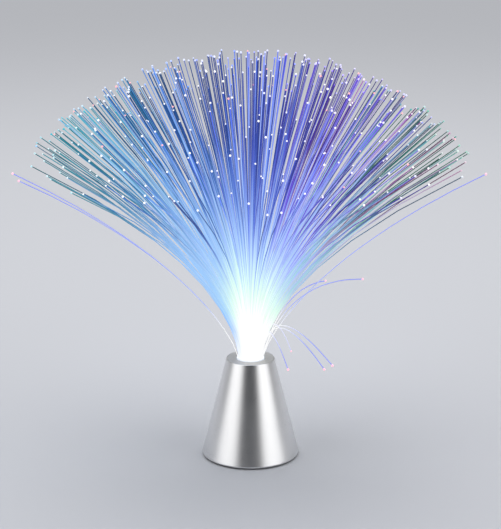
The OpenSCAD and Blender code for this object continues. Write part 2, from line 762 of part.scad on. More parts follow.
module fibre_socket() {
    ear_z = ceiling_z - socket_boss_h - socket_ear_t;
    color("#d9dadb") difference() {
        union() {
            translate([0, 0, board_top_z]) cylinder(h = ceiling_z - board_top_z, r = socket_r);
            around([90, 270], ear_ring_r) translate([0, 0, ear_z]) {
                cylinder(h = socket_ear_t, r = ear_r);
                translate([-ear_ring_r + socket_r - 1, -ear_r, 0])
                    cube([ear_ring_r - socket_r + 1, 2 * ear_r, socket_ear_t]);
            }
            around([0, 180], ear_ring_r) translate([0, 0, board_top_z]) {
                cylinder(h = board_lug_h, r = ear_r);
                translate([-ear_ring_r + socket_r - 1, -ear_r, 0])
                    cube([ear_ring_r - socket_r + 1, 2 * ear_r, board_lug_h]);
            }
        }
        translate([0, 0, step_z]) cylinder(h = ceiling_z, r = socket_bore_r);
        translate([0, 0, lens_z]) cylinder(h = ceiling_z, r = lens_pocket_r);
        translate([0, 0, board_top_z - 1]) cylinder(h = ceiling_z, r = ledge_r);
        translate([0, 0, board_top_z - 1]) cylinder(h = chamber_l + 1, r = socket_bore_r);
        around([90, 270], ear_ring_r) translate([0, 0, ear_z - 1])
            cylinder(h = socket_ear_t + 2, r = screw_hole_r, $fn = small_fn);
        around([0, 180], ear_ring_r) translate([0, 0, board_top_z - 1])
            cylinder(h = board_lug_h, r = pilot_r, $fn = small_fn);
    }
}

module socket_screws() {
    color(chrome) around([90, 270], ear_ring_r)
        translate([0, 0, ceiling_z - socket_boss_h - socket_ear_t - screw_head_h])
            screw(screw_r, socket_ear_t + socket_boss_h - screw_spare, screw_head_r, screw_head_h);
}

module diffuser_lens() {
    color("white", 0.7) translate([0, 0, lens_z]) rotate_extrude() polygon(concat(
        [[0, 0]],
        corner_arc([0, 0], [lens_r, 0], [lens_r, lens_t], lens_edge_r, 3),
        corner_arc([lens_r, 0], [lens_r, lens_t], [0, lens_t], lens_edge_r, 3),
        [[0, lens_t]]
    ));
}

module led_board() {
    color("#1f6b45") difference() {
        intersection() {
            translate([0, 0, board_z]) cylinder(h = board_t, r = board_r);
            block([2 * board_r, board_w, board_t + 2], [0, 0, board_z - 1]);
        }
        around([90, 210, 330], led_ring_r) for (side = [-1, 1])
            translate([0, side * led_lead_x, board_z - 1])
                cylinder(h = board_t + 2, r = lead_hole_r, $fn = small_fn);
        around([0, 180], ear_ring_r) translate([0, 0, board_z - 1])
            cylinder(h = board_t + 2, r = screw_hole_r, $fn = small_fn);
        for (x = resistor_x, side = [-1, 1])
            translate([x, side * resistor_lead_y, board_z - 1])
                cylinder(h = board_t + 2, r = lead_hole_r, $fn = small_fn);
        for (at = [positive_pad, switched_pad])
            translate([at.x, at.y, board_z - 1]) cylinder(h = board_t + 2, r = wire_hole_r, $fn = small_fn);
    }
}

module board_screws() {
    color(chrome) around([0, 180], ear_ring_r) translate([0, 0, board_z - screw_head_h])
        screw(screw_r, board_t + board_lug_h - screw_spare, screw_head_r, screw_head_h);
}

// One LED with its flange on the board and its leads through it
module led(angle) {
    around([angle], led_ring_r) {
        translate([0, 0, board_top_z]) {
            cylinder(h = led_flange_h, r = led_r + led_flange_w, $fn = small_fn);
            cylinder(h = led_h - led_r, r = led_r, $fn = small_fn);
            translate([0, 0, led_h - led_r]) sphere(r = led_r, $fn = small_fn);
        }
        for (side = [-1, 1])
            translate([0, side * led_lead_x, board_z - lead_below])
                cylinder(h = board_t + lead_below + 0.2, r = lead_r, $fn = small_fn);
    }
}

module led_red() color("#d83a34", 0.8) led(90);
module led_green() color("#38b04a", 0.8) led(210);
module led_blue() color("#3460e0", 0.8) led(330);

module controller_chip() {
    leg_x = chip_size.x / 2 + chip_leg_size[1] / 2 - 0.2;
    heel_x = chip_leg_size[1] / 2 - chip_leg_size[0] / 2;
    color("#202124") translate([0, chip_y, board_z]) {
        block(chip_size, [0, 0, -chip_size.z - chip_leg_size[2]]);
        for (side = [-1, 1], i = [0 : 3]) translate([side * leg_x, (i - 1.5) * chip_leg_pitch, 0]) {
            block([chip_leg_size[1], chip_leg_size[0], chip_leg_size[2]], [0, 0, -chip_leg_size[2]]);
            block([chip_leg_size[0], chip_leg_size[0], chip_leg_drop], [-side * heel_x, 0, -chip_leg_drop]);
        }
    }
}

module board_resistors() {
    color("#c9a36a") for (x = resistor_x) translate([x, 0, 0]) {
        translate([0, 0, resistor_z]) rotate([90, 0, 0])
            cylinder(h = resistor_l, r = resistor_r, center = true, $fn = small_fn);
        translate([0, 0, resistor_z]) rotate([90, 0, 0])
            cylinder(h = 2 * (resistor_lead_y + lead_r), r = lead_r, center = true, $fn = small_fn);
        for (side = [-1, 1]) translate([0, side * resistor_lead_y, resistor_z])
            cylinder(h = board_top_z - resistor_z, r = lead_r, $fn = small_fn);
    }
}

// ---------------------------------------------------------------- wires

module wire_positive() {
    tab = [tab_x, cell_y(cell_count - 1), tab_top_z + wire_touch];
    pad = [positive_pad.x, positive_pad.y, board_top_z - 0.2];
    color("#c22a26") tube_along(smooth_path([
        tab,
        tab + [-0.4, 0.1, 5],
        [tab.x - 6, tab.y, (tab.z + pad.z) / 2 - 1],
        [pad.x + 4, pad.y + 1, pad.z - 10],
        pad + [0.2, 0, -5],
        pad
    ], wire_steps), wire_r, wire_sides);
}

module wire_negative() {
    tab = [-tab_x, cell_y(0), tab_top_z + wire_touch];
    terminal = [0, switch_y, terminal_top_z + wire_touch];
    color("#2b2b2d") tube_along(smooth_path([
        tab,
        tab + [0.3, 0.6, 4],
        tab + [4, 9, 6],
        [-14, terminal.y - 14.5, terminal.z + 10.5],
        terminal + [-5, -4, 7.5],
        terminal + [-0.3, -0.3, 3.5],
        terminal
    ], wire_steps), wire_r, wire_sides);
}

module wire_switched() {
    terminal = [terminal_pitch, switch_y, terminal_top_z + wire_touch];
    pad = [switched_pad.x, switched_pad.y, board_top_z - 0.2];
    color("#e6e6e2") tube_along(smooth_path([
        terminal,
        terminal + [0.1, -0.2, 4.5],
        terminal + [-1, -4.5, 14],
        [-3, pad.y + 5, pad.z - 12],
        pad + [0, 0.5, -5.5],
        pad
    ], wire_steps), wire_r, wire_sides);
}

// ---------------------------------------------------------------- fibre bundle

module fibre_ferrule() {
    color("white", 0.8) rotate_extrude() polygon(concat(
        [
            [ferrule_inner_r, step_z],
            [ferrule_r - ferrule_edge_r, step_z],
            [ferrule_r, step_z + ferrule_edge_r]
        ],
        corner_arc([ferrule_r, step_z], [ferrule_r, ferrule_top_z], [0, ferrule_top_z], ferrule_edge_r, 3),
        [[ferrule_inner_r, ferrule_top_z]]
    ));
}

// Point and lean of a curve with four corners in the plane [out, up], at share t
function curve_point(c, t) =
    pow(1 - t, 3) * c[0] + 3 * t * pow(1 - t, 2) * c[1] + 3 * t * t * (1 - t) * c[2] + pow(t, 3) * c[3];
function curve_direction(c, t) =
    unit(pow(1 - t, 2) * (c[1] - c[0]) + 2 * t * (1 - t) * (c[2] - c[1]) + t * t * (c[3] - c[2]));

// Corners of a fan fibre that lies the given share out from the middle, cut by its noise
function fan_curve(share, noise) =
    let (
        angle = fan_angle * share,
        reach = dome_r * (1 + cut_share * noise),
        root = [fan_root_r * share, fibre_root_z],
        tip = [reach * sin(angle), dome_z + reach * cos(angle)],
        lean = angle * lean_ratio
    )
    [root, root + [0, upright_l], tip - straight_l * [sin(lean), cos(lean)], tip];

function stray_curve(corners) = [for (c = corners) c + [bundle_r - fibre_r - stray_inset, fibre_root_z]];

// Every fibre as its curve, its direction round the axis and its number of rings
function all_fibres() = concat(
    [for (i = [0 : fibre_count - 1]) let (share = sqrt((i + 0.5) / fibre_count))
        [fan_curve(share, cut_noise[i]), i * golden_angle, share < inner_share ? inner_rings : outer_rings]],
    [for (s = strays) [stray_curve(s[1]), s[0], stray_rings]]
);

// The rings of a fibre that lies in an upright plane through the axis
function fibre_points(curve, turn, rings) =
    let (across = [-sin(turn), cos(turn), 0])
    [for (i = [0 : rings - 1], k = [0 : fibre_sides - 1])
        let (
            t = pow(i / (rings - 1), ring_crowding),
            p = curve_point(curve, t),
            d = curve_direction(curve, t),
            a = 90 + 360 * k / fibre_sides,
            out = p.x - fibre_r * sin(a) * d.y,
            up = p.y + fibre_r * sin(a) * d.x
        )
        [out * cos(turn), out * sin(turn), up] + fibre_r * cos(a) * across];

module fibre_spray() {
    fibres = all_fibres();
    first_ring = [for (i = 0, sum = 0; i < len(fibres); sum = sum + fibres[i][2], i = i + 1) sum];
    points = [for (f = fibres) each fibre_points(f[0], f[1], f[2])];
    faces = [for (i = [0 : len(fibres) - 1])
        each tube_faces(first_ring[i] * fibre_sides, fibres[i][2], fibre_sides)];
    color("#9db8f5", 0.8) {
        translate([0, 0, potting_bottom_z])
            cylinder(h = potting_top_z - potting_bottom_z, r = bundle_r, $fn = potting_sides);
        polyhedron(points, faces);
    }
}

base_housing();
bottom_plate();
battery_door();
rubber_feet();
base_screws();
battery_1();
battery_2();
battery_3();
contact_negative();
contact_positive();
contact_link_right();
contact_link_left();
switch_frame();
switch_base();
switch_slider();
switch_bridge();
switch_terminals();
switch_screws();
fibre_socket();
socket_screws();
diffuser_lens();
led_board();
board_screws();
led_red();
led_green();
led_blue();
controller_chip();
board_resistors();
wire_positive();
wire_negative();
wire_switched();
fibre_ferrule();
fibre_spray();
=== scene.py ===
"""Looks of the fibre optic lamp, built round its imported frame.

The fan of fibres is made with Geometry Nodes, the strays as tubes along curves, and every
other piece is the frame's own solid with a procedural finish. Sizes are in metres.
"""

import math

import bmesh
import bpy
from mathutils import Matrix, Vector


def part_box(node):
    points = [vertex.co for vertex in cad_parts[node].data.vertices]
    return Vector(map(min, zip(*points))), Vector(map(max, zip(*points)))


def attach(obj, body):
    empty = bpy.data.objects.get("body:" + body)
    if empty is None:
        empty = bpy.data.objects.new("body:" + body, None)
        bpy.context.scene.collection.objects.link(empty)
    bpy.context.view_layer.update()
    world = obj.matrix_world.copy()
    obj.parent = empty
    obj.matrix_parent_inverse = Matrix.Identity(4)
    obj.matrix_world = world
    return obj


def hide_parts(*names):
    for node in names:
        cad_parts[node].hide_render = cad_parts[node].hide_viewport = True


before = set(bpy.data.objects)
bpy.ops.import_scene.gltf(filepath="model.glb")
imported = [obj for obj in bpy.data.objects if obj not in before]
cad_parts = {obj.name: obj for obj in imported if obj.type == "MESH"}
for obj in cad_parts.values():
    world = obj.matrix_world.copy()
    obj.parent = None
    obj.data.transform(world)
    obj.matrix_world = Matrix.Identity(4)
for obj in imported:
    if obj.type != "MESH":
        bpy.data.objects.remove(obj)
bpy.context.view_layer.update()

bl_info = {
    "name": "Fibre Optic Lamp",
    "version": (1, 0, 0),
    "blender": (4, 5, 0),
    "location": "3D View > Sidebar > Lamp",
    "description": "Builds the glowing fibre fan and the finishes of a table lamp",
    "category": "Object",
}

MM = 0.001

# ---- Places taken from the frame -------------------------------------------------------
shell_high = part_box("base_housing")[1]
ferrule_low, ferrule_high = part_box("fibre_ferrule")
potting_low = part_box("fibre_spray")[0]
board_low, board_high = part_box("led_board")
chip_low, chip_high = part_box("controller_chip")
cell_low, cell_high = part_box("battery_1")

SHELL_TOP = shell_high.z
BUNDLE_RADIUS = ferrule_high.x - 1.1 * MM
POTTING_TOP = ferrule_high.z - 0.6 * MM
POTTING_BOTTOM = potting_low.z
FIBRE_ROOT = POTTING_TOP - 1.0 * MM
STRAY_ROOT = BUNDLE_RADIUS - 0.725 * MM

# Each stray fibre's direction in degrees, and its curve's corners in mm out and up from its root
STRAYS = (
    (-12, ((0, 0), (4, 18), (22, 72), (82, 74))),
    (8, ((0, 0), (4, 16), (18, 62), (52, 64))),
    (-23, ((0, 0), (5, 32), (16, 52), (62, 4))),
    (-32, ((0, 0), (5, 31), (18, 51), (60, 4))),
    (-43, ((0, 0), (5, 34), (18, 52), (35, 17))),
    (-60, ((0, 0), (5, 30), (18, 50), (50, 9))),
    (179, ((0, 0), (5, 24), (50, 92), (180, 155))),
    (190, ((0, 0), (5, 24), (48, 94), (174, 158))),
    (-2, ((0, 0), (5, 24), (48, 92), (177, 157))),
)

# ---- Node wiring -----------------------------------------------------------------------


class Wiring:
    """Short words for wiring the nodes of one tree."""

    def __init__(self, tree):
        self.tree = tree

    def feed(self, socket, value):
        """Sets a socket to a number, colour or material, or links another socket to it."""
        if isinstance(value, bpy.types.NodeSocket):
            self.tree.links.new(value, socket)
        elif socket.type == "VECTOR":
            socket.default_value = value[:3]
        else:
            socket.default_value = value

    def node(self, kind, settings=None, **values):
        """A node with its settings and its inputs, named with _ for each space."""
        made = self.tree.nodes.new(kind)
        for name, value in (settings or {}).items():
            setattr(made, name, value)
        for name, value in values.items():
            wanted = name.replace("_", " ")
            self.feed(next(s for s in made.inputs if s.name == wanted and s.enabled), value)
        return made

    def out(self, kind, settings=None, output=None, **values):
        """The first live output of such a node, or the one of that name."""
        made = self.node(kind, settings, **values)
        return next(s for s in made.outputs if s.enabled and output in (None, s.name))

    def math(self, operation, *values, clamp=False):
        made = self.tree.nodes.new("ShaderNodeMath")
        made.operation = operation
        made.use_clamp = clamp
        for socket, value in zip(made.inputs, values):
            self.feed(socket, value)
        return made.outputs["Value"]

    def vector(self, operation, *values, output="Vector"):
        made = self.tree.nodes.new("ShaderNodeVectorMath")
        made.operation = operation
        for socket, value in zip(made.inputs, values):
            self.feed(socket, value)
        return made.outputs[output]

    def scaled(self, vector, factor):
        made = self.tree.nodes.new("ShaderNodeVectorMath")
        made.operation = "SCALE"
        self.feed(made.inputs["Vector"], vector)
        self.feed(made.inputs["Scale"], factor)
        return made.outputs["Vector"]

    def joined(self, x, y, z):
        return self.out("ShaderNodeCombineXYZ", X=x, Y=y, Z=z)

    def parts(self, vector):
        return self.node("ShaderNodeSeparateXYZ", Vector=vector).outputs[:3]

    def spread(self, value, low, high, to_low=0.0, to_high=1.0, smooth=False):
        """A value between low and high, moved to the range between to_low and to_high."""
        kind = "SMOOTHSTEP" if smooth else "LINEAR"
        return self.out(
            "ShaderNodeMapRange",
            {"interpolation_type": kind},
            Value=value, From_Min=low, From_Max=high, To_Min=to_low, To_Max=to_high,
        )

    def blend(self, factor, first, second):
        """A colour between the first and the second."""
        return self.out("ShaderNodeMix", {"data_type": "RGBA"}, Factor=factor, A=first, B=second)

    def ramp(self, factor, stops, interpolation="EASE"):
        """A colour ramp with stops as (place, colour)."""
        made = self.node("ShaderNodeValToRGB", Fac=factor)
        made.color_ramp.interpolation = interpolation
        points = made.color_ramp.elements
        while len(points) < len(stops):
            points.new(0.5)
        for point, (place, shade) in zip(points, stops):
            point.position = place
            point.color = shade
        return made.outputs["Color"]

    def noise(self, where, size, detail=2.0):
        """Noise whose spots are about the given size across, from 0 to 1."""
        made = self.node("ShaderNodeTexNoise", Vector=where, Scale=1 / size, Detail=detail)
        return self.spread(made.outputs[0], 0.25, 0.75)

    def place(self):
        """The place on the piece, in metres."""
        return self.node("ShaderNodeTexCoord").outputs["Object"]

    def bump(self, height, distance, strength=1.0):
        """A normal raised by a height from 0 to 1 over the given distance."""
        return self.out("ShaderNodeBump", Height=height, Distance=distance, Strength=strength)

    def surface(self, **values):
        """A Principled shader with the given inputs."""
        return self.out("ShaderNodeBsdfPrincipled", **values)


def colour(red, green, blue):
    return (red, green, blue, 1.0)


def grey(value):
    return colour(value, value, value)


WHITE_LIGHT = grey(1.0)
AZURE = colour(0.50, 0.74, 1.0)
PALE_VIOLET = colour(0.50, 0.56, 1.0)
ODD_GREEN = colour(0.03, 0.34, 0.20)
ODD_PINK = colour(0.42, 0.06, 0.24)
ROSE = colour(1.0, 0.46, 0.50)
PALE_SHARE = 0.12  # the share of the fibres that is paler than its neighbours
ROSY_SHARE = 0.06  # the share of the ends that is rosy
TINNED = grey(0.62)
CUT_ENDS_PER_METRE = 1100.0  # cut fibre ends along one metre of a potted face
CHIP_BODY_HALF = 2.52 * MM
RESISTOR_HALF = 2.7 * MM
TRACK_PITCH = 2.54 * MM
LED_RING = 9.4 * MM  # radius of the ring of tinned copper round the LEDs


# ---- Sizes and colours that a user would change ----------------------------------------


def distance(name, description, default, low=0.0, high=1.0):
    return bpy.props.FloatProperty(
        name=name, description=description, default=default, min=low, max=high, unit="LENGTH", precision=5
    )


def angle(name, description, degrees):
    return bpy.props.FloatProperty(
        name=name, description=description, default=math.radians(degrees), subtype="ANGLE"
    )


def share(name, description, default):
    return bpy.props.FloatProperty(name=name, description=description, default=default, subtype="FACTOR")


def tint(name, description, default):
    return bpy.props.FloatVectorProperty(
        name=name, description=description, default=default, min=0.0, max=1.0, size=3, subtype="COLOR"
    )


class LampFanSettings(bpy.types.PropertyGroup):
    """Sizes of the fibre fan."""

    fibres: bpy.props.IntProperty(
        name="Fibres", description="Number of fibres in the fan", default=584, min=50, max=900
    )
    rings: bpy.props.IntProperty(
        name="Rings", description="Rings of points along one fibre", default=10, min=4, max=24
    )
    sides: bpy.props.IntProperty(name="Sides", description="Sides of one fibre", default=5, min=3, max=12)
    fibre_diameter: distance("Fibre diameter", "Diameter of one fibre", 0.75 * MM)
    end_diameter: distance("End diameter", "Diameter of a fibre's rounded end", 1.6 * MM)
    dome_radius: distance("Dome radius", "Radius of the dome that the ends lie on", 231.5 * MM)
    dome_rise: distance("Dome rise", "Height of the dome's middle above the cone", 17 * MM)
    fan_angle: angle("Fan angle", "Angle of the outermost ends from upright, at the dome's middle", 49)
    lean_ratio: bpy.props.FloatProperty(
        name="Lean ratio", description="How much further a fibre leans than its end", default=1.24
    )
    upright: distance("Upright", "Length over which a fibre leaves the cone upright", 30 * MM)
    straight: distance("Straight", "Length over which a fibre runs straight to its end", 150 * MM)
    cut_spread: share("Cut spread", "How unevenly the fibres are cut", 0.014)
    gathering: share("Gathering", "How far the loose ends draw together in tufts", 0.5)
    wander: distance("Wander", "How far a loose fibre strays from its even course", 5 * MM)
    seed: bpy.props.IntProperty(name="Seed", description="Seed of everything that is random", default=11)


class LampGlowSettings(bpy.types.PropertyGroup):
    """Colours of the light in the fibres, from the left of the fan to the right."""

    neck: tint("Neck", "Light where the fibres leave the cone", (1.0, 1.0, 1.0))
    neck_edge: tint("Neck edge", "Light at the left edge of the neck", (0.12, 0.38, 0.95))
    halo: tint("Halo", "Light round the white neck", (0.74, 0.96, 0.80))
    left: tint("Left", "Light in the outermost fibres at the left", (0.02, 0.34, 0.42))
    middle_left: tint("Middle left", "Light between the left and the middle", (0.03, 0.19, 0.68))
    middle: tint("Middle", "Light in the middle of the fan", (0.08, 0.16, 0.92))
    middle_right: tint("Middle right", "Light between the middle and the right", (0.18, 0.08, 0.84))
    right: tint("Right", "Light in the outermost fibres at the right", (0.07, 0.27, 0.22))


class LampStageSettings(bpy.types.PropertyGroup):
    """Floor, light and camera."""

    floor_colour: tint("Floor", "Colour of the floor", (0.46, 0.47, 0.50))
    camera_back: distance("Camera back", "Distance of the camera in front of the lamp", 1.589, high=5.0)
    camera_height: distance("Camera height", "Height of the camera above the floor", 0.6388, high=5.0)
    camera_pitch: angle("Camera pitch", "How far the camera looks down", 16.7)
    focal_length: bpy.props.FloatProperty(
        name="Focal length", description="Focal length on a 36 mm sensor", default=140.2
    )
    left_angle: angle("Left angle", "How far round from the front the left band of light stands", 61)
    right_angle: angle("Right angle", "How far round from the front the right band of light stands", 58)
    left_band: share("Left band", "Brightness of the band at the left", 1.5)
    right_band: share("Right band", "Brightness of the band at the right", 1.62)


# ---- Pieces ----------------------------------------------------------------------------

MAP_ROWS = 12  # rows of cells in a fibre piece's map
CELL_WIDTH = (0.1, 0.9)  # the part of a cell's width that a fibre fills
TUBE_HEIGHT = (0.05, 0.62)  # the part of a cell's height that the fibre's tube fills
BEAD_HEIGHT = (0.70, 0.95)  # and the part that its rounded end fills
BEAD_SIDES = 8
BEAD_RINGS = 6
STRAY_RINGS = 18  # rings of points along a stray fibre
GOLDEN_ANGLE = math.pi * (3 - math.sqrt(5))
RING_CROWDING = 1.3  # how much closer the points of a fibre stand at the cone
SCATTER = 0.035  # how far a loose end lies off its tuft, in shares of the fan's width
TUFTS_ACROSS = 5.5  # tufts of loose ends from the fan's middle to its edge
TUFT_SHIFT = (3.1, 5.7, 0.0)  # where in the pattern of tufts the fan's middle lies

# Distances from the cone's top over which the light in a fibre changes
NECK_EDGE_COMES = (4 * MM, 30 * MM)
WHITE_ENDS = (36 * MM, 66 * MM)
HALO_ENDS = (58 * MM, 124 * MM)
TINT_COMES = (90 * MM, 200 * MM)
LIGHT_DIMS = (95 * MM, 200 * MM)
LEFT_TINT_COMES = (130 * MM, 220 * MM)
STRAY_WHITE_ENDS = (38 * MM, 58 * MM)


def plain_mesh(made, name):
    """The evaluated object as a plain mesh object of that name. The first one is removed."""
    graph = bpy.context.evaluated_depsgraph_get()
    mesh = bpy.data.meshes.new_from_object(made.evaluated_get(graph), depsgraph=graph)
    bpy.data.objects.remove(made)
    mesh.name = name
    piece = bpy.data.objects.new(name, mesh)
    bpy.context.collection.objects.link(piece)
    return piece


def grown(name, carrier, tree, values):
    """A mesh piece that a geometry tree grows from a carrier, with the tree's inputs set first."""
    modifier = carrier.modifiers.new("grow", "NODES")
    modifier.node_group = tree
    for identifier, value in values.items():
        modifier[identifier] = value
    return plain_mesh(carrier, name)


def inputs_of(tree, rows):
    """Gives a tree its named inputs. It returns their values by identifier."""
    values = {}
    for name, kind, value in rows:
        socket = tree.interface.new_socket(name=name, in_out="INPUT", socket_type=kind)
        if kind != "NodeSocketMaterial":
            socket.default_value = value
        values[socket.identifier] = value
    return values


def rows_of(settings, *names):
    """Rows for inputs_of from settings of those names."""
    kinds = {int: "NodeSocketInt", float: "NodeSocketFloat"}
    values = [getattr(settings, name) for name in names]
    return [(name.replace("_", " ").title(), kinds[type(v)], v) for name, v in zip(names, values)]


def stored(w, geometry, name, kind, value):
    """The geometry with a value kept at its points under a name."""
    return w.out(
        "GeometryNodeStoreNamedAttribute",
        {"data_type": kind, "domain": "POINT"},
        Geometry=geometry, Name=name, Value=value,
    )


def from_cone_top(w):
    """A point's distance from the middle of the cone's top face."""
    here = w.out("GeometryNodeInputPosition")
    return w.vector("DISTANCE", here, (0, 0, SHELL_TOP), output="Value")


def kept(w, name, kind):
    return w.out("GeometryNodeInputNamedAttribute", {"data_type": kind}, Name=name)


def mapped(w, geometry, number, columns, across, up):
    """The geometry with a map that gives each fibre a cell of its own, in rows of so many cells."""
    row = w.math("FLOOR", w.math("DIVIDE", w.math("ADD", number, 0.5), columns))
    column = w.math("SUBTRACT", number, w.math("MULTIPLY", row, columns))
    place = w.joined(
        w.math("DIVIDE", w.math("ADD", column, across), columns),
        w.math("DIVIDE", w.math("ADD", row, up), MAP_ROWS),
        0.0,
    )
    return w.out(
        "GeometryNodeStoreNamedAttribute",
        {"data_type": "FLOAT2", "domain": "CORNER"},
        Geometry=geometry, Name="OFBake", Value=place,
    )


def tubes_with_ends(w, given, curves, end_scale, columns):
    """A tube along every curve with a rounded bead on its far end. Each curve's number is in "fibre"."""
    curves = stored(w, curves, "up", "FLOAT", w.out("GeometryNodeSplineParameter"))
    ring = w.out(
        "GeometryNodeCurvePrimitiveCircle",
        Resolution=given["Sides"],
        Radius=w.math("DIVIDE", given["Fibre Diameter"], 2.0),
    )
    ring = stored(w, ring, "round", "FLOAT", w.out("GeometryNodeSplineParameter"))
    tubes = w.out("GeometryNodeCurveToMesh", Curve=curves, Profile_Curve=ring, Fill_Caps=True)
    tubes = w.out("GeometryNodeSetShadeSmooth", Geometry=tubes)
    tubes = w.out("GeometryNodeSetMaterial", Geometry=tubes, Material=given["Fibre Finish"])
    number = kept(w, "fibre", "INT")
    across = w.spread(kept(w, "round", "FLOAT"), 0, 1, *CELL_WIDTH)
    up = kept(w, "up", "FLOAT")
    tubes = mapped(w, tubes, number, columns, across, w.spread(up, 0, 1, *TUBE_HEIGHT))
    radius = w.math("DIVIDE", given["End Diameter"], 2.0)
    bead = w.out("GeometryNodeMeshUVSphere", Segments=BEAD_SIDES, Rings=BEAD_RINGS, Radius=radius)
    x, y, z = w.parts(w.out("GeometryNodeInputPosition"))
    bead = stored(w, bead, "round", "FLOAT", w.spread(w.math("ARCTAN2", y, x), -math.pi, math.pi))
    bead = stored(w, bead, "up", "FLOAT", w.spread(w.math("DIVIDE", z, radius), -1, 1))
    beads = w.out(
        "GeometryNodeInstanceOnPoints",
        Points=curves,
        Selection=w.out("GeometryNodeCurveEndpointSelection", Start_Size=0, End_Size=1),
        Instance=bead,
        Scale=w.joined(end_scale, end_scale, end_scale),
    )
    beads = w.out("GeometryNodeRealizeInstances", Geometry=beads)
    beads = w.out("GeometryNodeSetShadeSmooth", Geometry=beads)
    beads = w.out("GeometryNodeSetMaterial", Geometry=beads, Material=given["End Finish"])
    beads = mapped(w, beads, number, columns, across, w.spread(up, 0, 1, *BEAD_HEIGHT))
    whole = w.tree.nodes.new("GeometryNodeJoinGeometry")
    for piece in (tubes, beads):
        w.tree.links.new(piece, whole.inputs[0])
    return w.out("GeometryNodeRealizeInstances", Geometry=whole.outputs[0])


